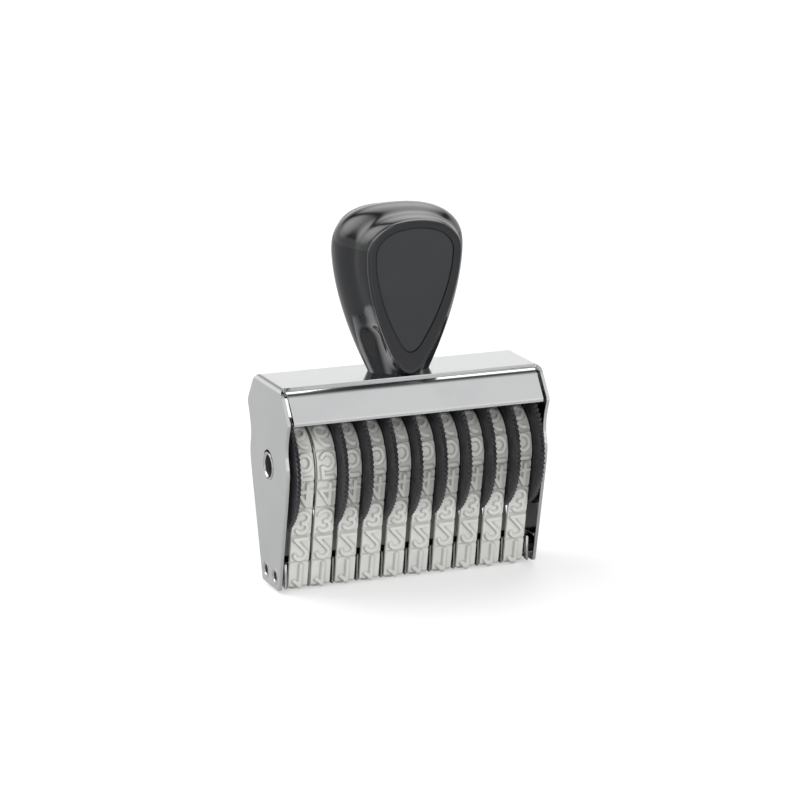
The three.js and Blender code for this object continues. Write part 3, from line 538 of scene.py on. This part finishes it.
# Thumbwheels
# Ten black plastic mouldings that turn on the axle. Each has a finely serrated disc, and a drum beside it
# that carries and drives one band. The first has its disc on the outside.
BAND_COUNT = 10
BAND_WIDTH = 6.3
FIRST_BAND_LEFT = -39.2
ROW_LEFT = -40.0
ROW_PITCH = 8.1
FIRST_DISC_LEFT = -40.7
DISC_OFFSET = 6.6
DISC_THICKNESS = 1.2
WHEEL_RADIUS = 20.6
WHEEL_BORE = 3.8
DRUM_RADIUS = 11.9
TOOTH_COUNT = 80
TOOTH_DEPTH = 1.0


def band_left(index):
    return FIRST_BAND_LEFT if index == 0 else ROW_LEFT + ROW_PITCH * index


def disc_left(index):
    return FIRST_DISC_LEFT if index == 0 else band_left(index) + DISC_OFFSET


def wheel_shape(index):
    """A ring profile with the serration pressed into its rim."""
    low = disc_left(index)
    high = low + DISC_THICKNESS
    face, back = (high, low) if index == 0 else (low, high)
    away = -1 if index == 0 else 1
    drum_end = band_left(index) + (BAND_WIDTH if index == 0 else 0.0)
    step = 0.22 * away
    profile = [
        (drum_end, WHEEL_BORE, 0.0), (drum_end, 11.6, 0.0), (drum_end + 0.3 * away, DRUM_RADIUS, 0.0),
        (face, DRUM_RADIUS, 0.0), (face, 14.6, 0.0), (face + step, 14.9, 0.0), (face + step, 18.0, 0.0),
        (face, 18.3, 0.0), (face, 19.0, 0.0), (face, 20.42, 1.0), (face + 0.14 * away, WHEEL_RADIUS, 1.0),
        (back - 0.14 * away, WHEEL_RADIUS, 1.0), (back, 20.42, 1.0), (back, 19.0, 0.0),
        (back, WHEEL_BORE, 0.0),
    ]
    sides = TOOTH_COUNT * 4
    bite = (0.0, 0.55, 1.0, 0.55)
    points = []
    for k in range(sides):
        angle = 2 * math.pi * k / sides
        for x, radius, share in profile:
            r = radius - TOOTH_DEPTH * share * bite[k % 4]
            points.append((x, r * math.cos(angle), AXLE_HEIGHT + r * math.sin(angle)))
    count = len(profile)
    faces = [(k * count + j, k * count + (j + 1) % count,
              (k + 1) % sides * count + (j + 1) % count, (k + 1) % sides * count + j)
             for k in range(sides) for j in range(count)]
    return points, faces


wheel_plastic = finish("wheel_plastic", (0.022, 0.023, 0.026), (0.034, 0.035, 0.038), (0.38, 0.50), 0.0,
                       160.0, 4000.0, (0.25, 0.02))
for index in range(BAND_COUNT):
    wheel = piece(f"thumbwheel_{index + 1}", *wheel_shape(index), "wheel_plastic",
                  f"number_wheel_{index + 1}", body=f"wheel_{index + 1}")
    dress(wheel, 32, wheel_plastic)


# Number bands
# Endless bands of light grey rubber on a cord layer, moulded as a chain of thick cells with a groove
# between them. Each cell has one raised figure, in mirror writing so that it prints the right way round.
CELL_COUNT = 14
CORD_HEIGHT = 1.3
CORD_CORNER = 5.0
CORD_RADIUS = 13.1
CORNER_BEND = 0.95
RELIEF = 0.85
SLAB = 1.3 - RELIEF
STROKE = 0.60
STROKE_FOOT = 0.14
STROKE_EASE = 0.26
# Painted shade on the bands: their colour is darkened close beside the strokes and in the counters, in the
# grooves between cells, and by a fixed share on the band's sides. The next four numbers set its reach, its
# ease, its strength and the sides' share.
SHADE_REACH = 1.15
SHADE_EASE = 0.5
PAINTED_SHADE_SHARE = 0.45
SIDE_PAINTED_SHADE = 0.35
GROOVE_HALF_WIDTH = 0.12
GROOVE_EASE = 0.28
GROOVE_FLOOR = 0.06
NOTCH_REACH = 0.42
NOTCH_DEPTH = 0.5
FIGURE_SCALE = (1.2, 1.12)
BAND_SETTINGS = (0.3, 0.4, 0.5, 0.4, 0.3, 0.6, 0.75, 0.85, 1.1, 1.1)

axle_above_cord = AXLE_HEIGHT - CORD_HEIGHT
corner_to_axle = math.hypot(CORD_CORNER, axle_above_cord)
LEAN = math.asin(CORD_RADIUS / corner_to_axle) - math.atan2(CORD_CORNER, axle_above_cord)
corner_turn = math.pi / 2 - LEAN
setback = CORNER_BEND * math.tan(corner_turn / 2)
FLAT = CORD_CORNER - setback
BEND_END = FLAT + CORNER_BEND * corner_turn
TANGENT = BEND_END + math.sqrt(corner_to_axle ** 2 - CORD_RADIUS ** 2) - setback
HALF_LOOP = TANGENT + CORD_RADIUS * (math.pi / 2 + LEAN)
CELL_PITCH = 2 * HALF_LOOP / CELL_COUNT


def band_path(distance):
    """Places and outward normals (y, z) of the cord line, for distances from the middle of the platen.
    Positive distances run up the front."""
    along = np.abs(distance)
    turned_by = np.clip((along - FLAT) / CORNER_BEND, 0, corner_turn)
    angle = -math.pi / 2 + turned_by
    y = np.minimum(along, FLAT) + CORNER_BEND * np.cos(angle)
    z = CORD_HEIGHT + CORNER_BEND + CORNER_BEND * np.sin(angle)
    climb = np.clip(along - BEND_END, 0, TANGENT - BEND_END)
    y = y + climb * math.sin(LEAN)
    z = z + climb * math.cos(LEAN)
    round_drum = along > TANGENT
    wrap = (along - TANGENT) / CORD_RADIUS - LEAN
    y = np.where(round_drum, CORD_RADIUS * np.cos(wrap), y)
    z = np.where(round_drum, AXLE_HEIGHT + CORD_RADIUS * np.sin(wrap), z)
    angle = np.where(round_drum, wrap, angle)
    front = np.where(distance < 0, 1.0, -1.0)
    return front * y, z, front * np.cos(angle), np.sin(angle)


def arc(cx, cy, rx, ry, start, end, steps=14):
    angles = np.radians(np.linspace(start, end, steps + 1))
    return [(cx + rx * math.cos(a), cy + ry * math.sin(a)) for a in angles]


# Centre lines of the figures, upright, in millimetres from the middle of a cell.
FIGURES = [
    [arc(0, 0, 1.65, 3.05, 0, 360, 28)],
    [[(0.35, -3.2), (0.35, 3.1), (-1.25, 1.75)]],
    [arc(0, 1.45, 1.6, 1.65, 170, -28) + [(-1.7, -3.1), (1.75, -3.1)]],
    [arc(-0.1, 1.6, 1.5, 1.5, 150, -85) + arc(-0.1, -1.4, 1.75, 1.7, 85, -155)],
    [[(0.85, -3.2), (0.85, 3.1), (-1.8, -1.3), (1.95, -1.3)]],
    [[(1.5, 3.1), (-1.25, 3.1), (-1.5, 0.45)] + arc(0, -1.05, 1.7, 2.0, 135, -150)],
    [arc(0, -1.35, 1.65, 1.75, 0, 360, 22), arc(1.0, -1.35, 2.65, 4.45, 84, 180, 12)],
    [[(-1.7, 3.1), (1.65, 3.1), (-0.55, -3.2)]],
    [arc(0, 1.65, 1.4, 1.45, 0, 360, 20), arc(0, -1.45, 1.65, 1.65, 0, 360, 22)],
    [arc(0, 1.35, 1.65, 1.75, 0, 360, 22), arc(-1.0, 1.35, 2.65, 4.45, -96, 0, 12)],
    [[(-1.4, 0.0), (1.4, 0.0)]],
    [[(-1.6, -3.0), (1.6, 3.0)]],
    [[(-0.1, -2.8), (0.1, -2.8)]],
    [],
]


def figure_height(lines, u, v):
    """Share of the full relief at places (u, v) in a cell, and how much painted shade each place gets in the
    hollow beside a stroke.
    """
    nearest = np.full(u.shape, 9.0)
    for line in lines:
        drawn = [(x * FIGURE_SCALE[0], y * FIGURE_SCALE[1]) for x, y in line]
        for (ax, ay), (bx, by) in zip(drawn, drawn[1:]):
            dx, dy = bx - ax, by - ay
            share = np.clip(((u - ax) * dx + (v - ay) * dy) / (dx * dx + dy * dy), 0, 1)
            nearest = np.minimum(nearest, np.hypot(u - ax - share * dx, v - ay - share * dy))
    rise = np.clip((STROKE + STROKE_FOOT - nearest) / STROKE_EASE, 0, 1)
    rise = rise * rise * (3 - 2 * rise)
    return rise, (1 - rise) * np.clip((SHADE_REACH - nearest) / SHADE_EASE, 0, 1)


def band_shape(index):
    """Rings of the band's cross-section all along its loop."""
    steps_per_cell = 48
    columns = np.linspace(-1, 1, 37)
    local = (np.arange(steps_per_cell) / steps_per_cell - 0.5) * CELL_PITCH
    rings = []
    painted_shade = []
    for cell in range(CELL_COUNT):
        to_edge = CELL_PITCH / 2 - np.abs(local)
        open_up = np.clip((to_edge - GROOVE_HALF_WIDTH) / GROOVE_EASE, 0, 1)
        top = GROOVE_FLOOR + (SLAB - GROOVE_FLOOR) * open_up * open_up * (3 - 2 * open_up)
        half = BAND_WIDTH / 2 - np.where(to_edge < NOTCH_REACH, NOTCH_DEPTH, 0.0)
        u = columns[None, :] * (half[:, None] - 0.16)
        v = np.repeat(-local[:, None], columns.size, axis=1)
        rise, beside = figure_height(FIGURES[cell], u, v)
        height = top[:, None] + RELIEF * rise * open_up[:, None]
        # Painted shade: the hollows beside the strokes and the grooves between cells are marked for
        # darkening, and the band's side walls get a fixed share.
        painted_shade_amount = np.maximum(beside, 1 - open_up[:, None])
        painted_shade.append(np.pad(painted_shade_amount, ((0, 0), (6, 6)), constant_values=SIDE_PAINTED_SHADE))
        ones = np.ones_like(half)
        full = BAND_WIDTH / 2 * ones
        left = [(-full + 0.1, -0.9 * ones), (-full, -0.78 * ones), (-full, -0.05 * ones),
                (-full + 0.04, 0.0 * ones), (-half, np.minimum(top - 0.14, 0.02)), (-half, top - 0.13)]
        across = [u[:, k] for k in range(columns.size)]
        up = [height[:, k] for k in range(columns.size)]
        us = [pair[0] for pair in left] + across + [-pair[0] for pair in reversed(left)]
        ws = [pair[1] for pair in left] + up + [pair[1] for pair in reversed(left)]
        distance = cell * CELL_PITCH + local - BAND_SETTINGS[index]
        rings.append((distance, np.array(us).T, np.array(ws).T))
    distance = np.concatenate([ring[0] for ring in rings])
    distance = (distance + HALF_LOOP) % (2 * HALF_LOOP) - HALF_LOOP
    u = np.concatenate([ring[1] for ring in rings])
    w = np.concatenate([ring[2] for ring in rings])
    y, z, ny, nz = band_path(distance)
    middle = band_left(index) + BAND_WIDTH / 2
    points = np.stack([middle + u, y[:, None] + ny[:, None] * w, z[:, None] + nz[:, None] * w], axis=2)
    count, width = u.shape
    ring_index = np.arange(count)[:, None] * width
    next_index = (np.arange(count)[:, None] + 1) % count * width
    here = np.arange(width)[None, :]
    after = (here + 1) % width
    faces = np.stack([ring_index + here, ring_index + after, next_index + after, next_index + here], axis=2)
    return points.reshape(-1, 3).tolist(), faces.reshape(-1, 4).tolist(), np.concatenate(painted_shade).ravel()


band_rubber = finish("band_rubber", (0.60, 0.60, 0.575), (0.54, 0.54, 0.515), (0.50, 0.62), 0.0,
                     90.0, 2600.0, (0.30, 0.03))
tree = band_rubber.node_tree
# Painted shade: the rubber's colour is mixed toward a dark grey by the band's point attribute, in the hollows
# beside the figures, in the grooves between cells and on the band's sides.
painted_shade_attribute, shade_mix = add_nodes(tree, "ShaderNodeAttribute", "ShaderNodeMix")
painted_shade_attribute.attribute_name = "painted_shade"
shade_mix.data_type = "RGBA"
shade_mix.inputs[7].default_value = (0.22, 0.22, 0.21, 1.0)
shader = tree.nodes["Principled BSDF"]
tree.links.new(combine(tree, "MULTIPLY", painted_shade_attribute.outputs["Fac"], PAINTED_SHADE_SHARE), shade_mix.inputs[0])
tree.links.new(shader.inputs["Base Color"].links[0].from_socket, shade_mix.inputs[6])
tree.links.new(shade_mix.outputs[2], shader.inputs["Base Color"])
for index in range(BAND_COUNT):
    band_points, band_faces, painted_shade_amount = band_shape(index)
    band = piece(f"number_loop_{index + 1}", band_points, band_faces, "band_rubber",
                 f"number_band_{index + 1}")
    dress(band, 50, band_rubber)
    # Stores the painted shade amounts on the band's points.
    band.data.attributes.new("painted_shade", "FLOAT", "POINT").data.foreach_set("value", painted_shade_amount)


# Hub spacer
# A thin steel washer on the axle between the first two bands, which have no disc between them.
# It keeps their drums apart, and only its bright edge shows.
spacer_profile = [(-32.6, WHEEL_BORE), (-32.6, 13.45), (-32.5, 13.6),
                  (-32.3, 13.6), (-32.2, 13.45), (-32.2, WHEEL_BORE)]
spacer = piece("hub_spacer", *lathe(spacer_profile, 96, (0, 0, AXLE_HEIGHT)), "bright_steel", "wheel_spacer")
dress(spacer, 30, bright_steel)


# Platen, guides and rivets
# A chromed channel behind the printing cells, thin steel plates that straddle it between the bands,
# and flared tubular rivets that hold its ears to the side plates. The ears' edges are folded back.
FOLD_X = 40.38
FOLD_HALF_WIDTH = 0.46
FOLD_RADIUS = 0.45
FOLD_START, FOLD_MIDDLE, FOLD_END = 4.3, 5.6, 6.75
# Inside this radius the rivets' bores are given near-black steel, as painted shade.
SHADED_RIVET_BORE_RADIUS = 1.65


def refinish(node, material):
    """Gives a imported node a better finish."""
    node.data.materials.clear()
    node.data.materials.append(material)


for name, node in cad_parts.items():
    if name == "platen":
        refinish(node, chrome)
    elif name.startswith("band_guide"):
        refinish(node, bright_steel)


def ear_fold(side, front):
    """A rounded upright fold at one end of the platen, where its ear is turned back on itself."""
    outline = [(side * FOLD_X, front * FOLD_START)]
    outline += [(side * (FOLD_X + FOLD_HALF_WIDTH * math.cos(a)),
                 front * (FOLD_END + FOLD_RADIUS * math.sin(a)))
                for a in np.linspace(0, math.pi, 13)]
    points = []
    for inset, z in ((0.28, 1.2), (0.1, 1.32), (0.0, 1.7), (0.0, 9.0), (0.1, 9.15)):
        shrink = 1 - inset / FOLD_RADIUS
        points += [(side * FOLD_X + (x - side * FOLD_X) * shrink,
                    front * FOLD_MIDDLE + (y - front * FOLD_MIDDLE) * (1 - inset / 2), z)
                   for x, y in outline]
    count = len(outline)
    faces = [(j * count + k, j * count + (k + 1) % count,
              (j + 1) * count + (k + 1) % count, (j + 1) * count + k)
             for j in range(4) for k in range(count)]
    faces += [tuple(range(count)), tuple(range(4 * count, 5 * count))]
    return points, faces


for side_name, side in (("left", -1), ("right", 1)):
    for end_name, end in (("front", -1), ("rear", 1)):
        fold = piece(f"ear_fold_{side_name}_{end_name}", *ear_fold(side, end), "chromed_sheet")
        dress(fold, 50, chrome)
        rivet_profile = [(side * x, radius) for x, radius in (
            (40.3, 0.9), (40.3, 1.6), (SEAT, 1.6), (SEAT, 2.95), (SEAT + 0.3, 3.12), (SEAT + 0.7, 2.95),
            (SEAT + 0.98, 2.6), (SEAT + 1.05, 2.25), (SEAT + 0.95, 1.9), (SEAT + 0.6, 1.6), (SEAT, 1.35),
            (SEAT - 0.7, 0.9))]
        rivet = piece(f"rivet_{side_name}_{end_name}",
                      *lathe(rivet_profile, 48, (0, end * RIVET_SPREAD, RIVET_HEIGHT)),
                      "bright_steel", f"platen_rivet_{side_name}_{end_name}")
        dress(rivet, 50, bright_steel)
        # Painted shade inside the rivet's bore.
        shade_bore(rivet, SHADED_RIVET_BORE_RADIUS, end * RIVET_SPREAD, RIVET_HEIGHT)


# Handle
# A black moulding with a glossy skin, screwed on from inside the frame. It swells from a narrow neck to
# a low dome, with a raised teardrop panel front and back and four finger flutes beside the panel tips.
HANDLE_BASE = 64.6
HANDLE_HEIGHT = 53.2
WIDEST_HEIGHT = 39.5
NECK = (9.4, 7.6)
WIDEST = (20.9, 12.2)
FLANK_POWER = 1.7
ROUND_NECK, ROUND_WIDEST, DOME_WIDE, DOME_DEEP = 2.1, 2.3, 2.45, 2.3
SKIN_START = -4.0
PANEL_TOP_HEIGHT = 50.3
PANEL_TIP_HEIGHT = 1.4
PANEL_TIP_RISE = 4.2
PANEL_HALF_WIDTH = 15.2
PANEL_TIP_HALF_WIDTH = 5.2
PANEL_FOOT_DEPTH = 10.2
PANEL_LEAN = 0.12
APRON_SIDE, APRON_TOP = 1.8, 0.8
POCKET_BORDERS = (2.6, 7.0)
FLUTE_ANGLE = 0.76
FLUTE_TOP_HEIGHT = 17.5
FLUTE_OFFSET = 3.9
FLUTE_RADIUS = 5.0
FLUTE_TAIL = -6.0


def handle_levels():
    """Half width, half depth, height above the base, and roundness of each section."""
    levels = [(*NECK, SKIN_START, ROUND_NECK)]
    for share in np.linspace(0, 1, 71)[:-1]:
        swell = 1 - (1 - share) ** FLANK_POWER
        levels.append((NECK[0] + (WIDEST[0] - NECK[0]) * swell, NECK[1] + (WIDEST[1] - NECK[1]) * swell,
                       share * WIDEST_HEIGHT, ROUND_NECK + (ROUND_WIDEST - ROUND_NECK) * share))
    for angle in np.linspace(0, math.pi / 2, 41)[:-1]:
        rise = math.sin(angle) ** (2 / DOME_WIDE)
        wide = (1 - rise ** DOME_WIDE) ** (1 / DOME_WIDE)
        deep = (1 - rise ** DOME_DEEP) ** (1 / DOME_DEEP)
        levels.append((WIDEST[0] * wide, WIDEST[1] * deep,
                       WIDEST_HEIGHT + (HANDLE_HEIGHT - WIDEST_HEIGHT) * rise, ROUND_WIDEST))
    return levels


def handle_skin():
    """The grip without its panels, as rings of rounded sections from the neck to the dome."""
    sides = 120
    angles = 2 * np.pi * np.arange(sides) / sides
    points = [(0.0, 0.0, HANDLE_BASE + SKIN_START)]
    rings = []
    for half_width, half_depth, height, power in handle_levels():
        cosine, sine = np.cos(angles), np.sin(angles)
        x = half_width * np.sign(cosine) * np.abs(cosine) ** (2 / power)
        y = half_depth * np.sign(sine) * np.abs(sine) ** (2 / power)
        rings.append(len(points))
        points += [(a, b, HANDLE_BASE + height) for a, b in zip(x, y)]
    points.append((0.0, 0.0, HANDLE_BASE + HANDLE_HEIGHT))
    faces = []
    for k in range(sides):
        nxt = (k + 1) % sides
        faces.append((0, rings[0] + nxt, rings[0] + k))
        faces += [(low + k, low + nxt, high + nxt, high + k) for low, high in zip(rings, rings[1:])]
        faces.append((rings[-1] + k, rings[-1] + nxt, len(points) - 1))
    return points, faces


def teardrop(border, foot_border, top_border=None):
    """Outline of a panel as (x, z), clockwise from its top, with a border left free."""
    steps = 40
    top = HANDLE_BASE + PANEL_TOP_HEIGHT - (border if top_border is None else top_border)
    widest = HANDLE_BASE + WIDEST_HEIGHT
    tip = HANDLE_BASE + PANEL_TIP_HEIGHT + foot_border
    half = PANEL_HALF_WIDTH - border
    tip_half = PANEL_TIP_HALF_WIDTH * half / PANEL_HALF_WIDTH
    tip_top = tip + PANEL_TIP_RISE
    flank = widest - tip_top
    right = [(0.0, top)]
    right += curve((0, top), (half * 0.6, top), (half, widest + (top - widest) * 0.62), (half, widest), steps)
    right += curve((half, widest), (half, widest - flank * 0.34),
                   (tip_half + (half - tip_half) * 0.5, tip_top + flank * 0.26), (tip_half, tip_top), steps)
    right += curve((tip_half, tip_top), (tip_half * 2 / 3, tip + (tip_top - tip) / 3), (tip_half / 3, tip),
                   (0.0, tip), steps // 2)
    left = [(-x, z) for x, z in right[-2:0:-1]]
    return np.array(right + left)


def shrunk(outline, amount):
    """The outline moved inward along its normals."""
    tangent = np.roll(outline, -1, axis=0) - np.roll(outline, 1, axis=0)
    tangent /= np.linalg.norm(tangent, axis=1)[:, None]
    return outline + amount * np.stack([tangent[:, 1], -tangent[:, 0]], axis=1)


def panel_rings(front, rings):
    """Stacked outlines at depths below the panel's leaning face, as points and faces."""
    points, faces = [], []
    for outline, below in rings:
        y = PANEL_FOOT_DEPTH + (outline[:, 1] - HANDLE_BASE) * PANEL_LEAN - below
        points += [(x, -front * depth, z) for (x, z), depth in zip(outline, y)]
    count = len(rings[0][0])
    for level in range(len(rings) - 1):
        low, high = level * count, (level + 1) * count
        faces += [(low + k, low + (k + 1) % count, high + (k + 1) % count, high + k) for k in range(count)]
    return points, faces, count


def panel_block(front):
    """The solid behind a panel's face, whose sides slope and round back into the grip's skin."""
    wide = teardrop(-APRON_SIDE, 0, -APRON_TOP)
    face = teardrop(0, 0)
    shares = ((0.0, 0.5), (0.12, 1.2), (0.35, 2.3), (0.65, 3.4), (1.0, 4.6))
    rings = [(face + (wide - face) * share, below) for share, below in shares]
    points, faces, count = panel_rings(front, rings)
    points += [(x, 0.0, z) for x, z in wide]
    low, high = (len(rings) - 1) * count, len(rings) * count
    faces += [(low + k, low + (k + 1) % count, high + (k + 1) % count, high + k) for k in range(count)]
    faces += [tuple(range(count)), tuple(range(high + count - 1, high - 1, -1))]
    return points, faces


def flute(front, side):
    """A round-ended trough down a lower corner of the grip."""
    away = (math.cos(FLUTE_ANGLE), math.sin(FLUTE_ANGLE))
    swell = 1 - (1 - FLUTE_TOP_HEIGHT / WIDEST_HEIGHT) ** FLANK_POWER
    ends = []
    for share, height in ((0.0, 0.0), (swell, FLUTE_TOP_HEIGHT)):
        half_width = NECK[0] + (WIDEST[0] - NECK[0]) * share
        half_depth = NECK[1] + (WIDEST[1] - NECK[1]) * share
        ends.append(Vector((side * (half_width + FLUTE_OFFSET) * away[0],
                            -front * (half_depth + FLUTE_OFFSET) * away[1], HANDLE_BASE + height)))
    low, high = ends
    reach = (high - low).length
    axis = (high - low).normalized()
    turn = axis.to_track_quat("Z", "X").to_matrix()
    profile = [(FLUTE_RADIUS, FLUTE_TAIL)]
    profile += [(FLUTE_RADIUS * math.cos(a), reach - FLUTE_RADIUS + FLUTE_RADIUS * math.sin(a))
                for a in np.linspace(0, math.pi / 2, 9)[:-1]]
    sides = 32
    points = [tuple(low + turn @ Vector((r * math.cos(a), r * math.sin(a), along)))
              for r, along in profile for a in np.linspace(0, 2 * math.pi, sides + 1)[:-1]]
    points.append(tuple(low + axis * reach))
    faces = [(sides * j + k, sides * j + (k + 1) % sides,
              sides * (j + 1) + (k + 1) % sides, sides * (j + 1) + k)
             for j in range(len(profile) - 1) for k in range(sides)]
    faces.append(tuple(range(sides - 1, -1, -1)))
    top = sides * (len(profile) - 1)
    faces += [(top + k, top + (k + 1) % sides, len(points) - 1) for k in range(sides)]
    return points, faces


def panel_face(front, pocket):
    """The face of a panel, with a rounded bead round its edge and a pocket for the inset."""
    outline = teardrop(0, 0)
    bead = ((0.0, 1.6), (0.0, 0.55), (0.08, 0.15), (0.25, -0.12), (0.5, -0.22), (0.75, -0.14), (0.95, 0.02),
            (1.12, 0.08))
    rings = [(shrunk(outline, inward), below) for inward, below in bead]
    if pocket:
        edge = teardrop(*POCKET_BORDERS)
        rings += [(shrunk(edge, -0.3), 0.08), (shrunk(edge, -0.12), 0.12), (edge, 0.3), (edge, 1.0)]
    points, faces, count = panel_rings(front, rings)
    last = len(rings) - 1
    faces.append(tuple(range(last * count, (last + 1) * count)))
    faces.append(tuple(range(count - 1, -1, -1)))
    return points, faces


def reskin(made, voxel):
    """Covers the joined shapes of a piece with one even skin."""
    skin = made.modifiers.new("skin", "REMESH")
    skin.mode = "VOXEL"
    skin.voxel_size = voxel * MM


handle = piece("handle_grip", *joined_shapes([handle_skin(), panel_block(1), panel_block(-1)]),
               "handle_plastic", "handle")
outward(handle)
reskin(handle, 0.5)
settle(handle)
carve(handle, [flute(front, side) for front in (1, -1) for side in (1, -1)])
reskin(handle, 0.45)
relax = handle.modifiers.new("relax", "SMOOTH")
relax.factor = 0.5
relax.iterations = 70
settle(handle)
bare = bmesh.new()
bare.from_mesh(handle.data)
everything = bare.verts[:] + bare.edges[:] + bare.faces[:]
sliced = bmesh.ops.bisect_plane(bare, geom=everything, plane_co=(0, 0, HANDLE_BASE * MM), plane_no=(0, 0, 1),
                                clear_inner=True)
rim = [item for item in sliced["geom_cut"] if isinstance(item, bmesh.types.BMEdge)]
bmesh.ops.contextual_create(bare, geom=rim)
for front, pocket in ((1, True), (-1, False)):
    face_piece = piece("panel_face", *panel_face(front, pocket), "handle_plastic")
    outward(face_piece)
    bare.from_mesh(face_piece.data)
    bpy.data.objects.remove(face_piece)
bare.to_mesh(handle.data)
bare.free()
smooth(handle, 38)
handle_gloss = finish("handle_plastic", (0.008, 0.0085, 0.010), (0.011, 0.0115, 0.013), (0.08, 0.13), 0.0,
                      50.0, 1800.0, (0.10, 0.01))
handle.data.materials.append(handle_gloss)


# Inset
# A thin matt plastic plate that is pressed into the pocket of the front panel, a little below its rim.
INSET_BORDERS = (2.75, 7.2)


def round_over(outline, radius, below):
    """Outlines that turn over an edge of the given radius, from the wall to the face."""
    angles = np.linspace(0, math.pi / 2, 7)
    return [(shrunk(outline, radius * (1 - math.cos(a))), below + radius * (1 - math.sin(a))) for a in angles]


inset_edge = teardrop(*INSET_BORDERS)
inset_rings = [(inset_edge, 0.9), (inset_edge, 0.55)] + round_over(inset_edge, 0.25, 0.22)
inset_points, inset_faces, count = panel_rings(1, inset_rings)
last = (len(inset_rings) - 1) * count
inset_faces += [tuple(range(last, last + count)), tuple(range(count - 1, -1, -1))]
inset = piece("matt_inset", inset_points, inset_faces, "inset_plastic", "handle_inset")
inset_plastic = finish("inset_plastic", (0.026, 0.028, 0.030), (0.030, 0.032, 0.034), (0.55, 0.62), 0.0,
                       70.0, 3500.0, (0.35, 0.03), Specular_IOR_Level=0.3)
dress(inset, 38, inset_plastic)


# Screw and washer
# A pan-head screw and a plain washer hold the handle down from inside the frame.
for name in ("handle_screw", "handle_washer"):
    refinish(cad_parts[name], bright_steel)
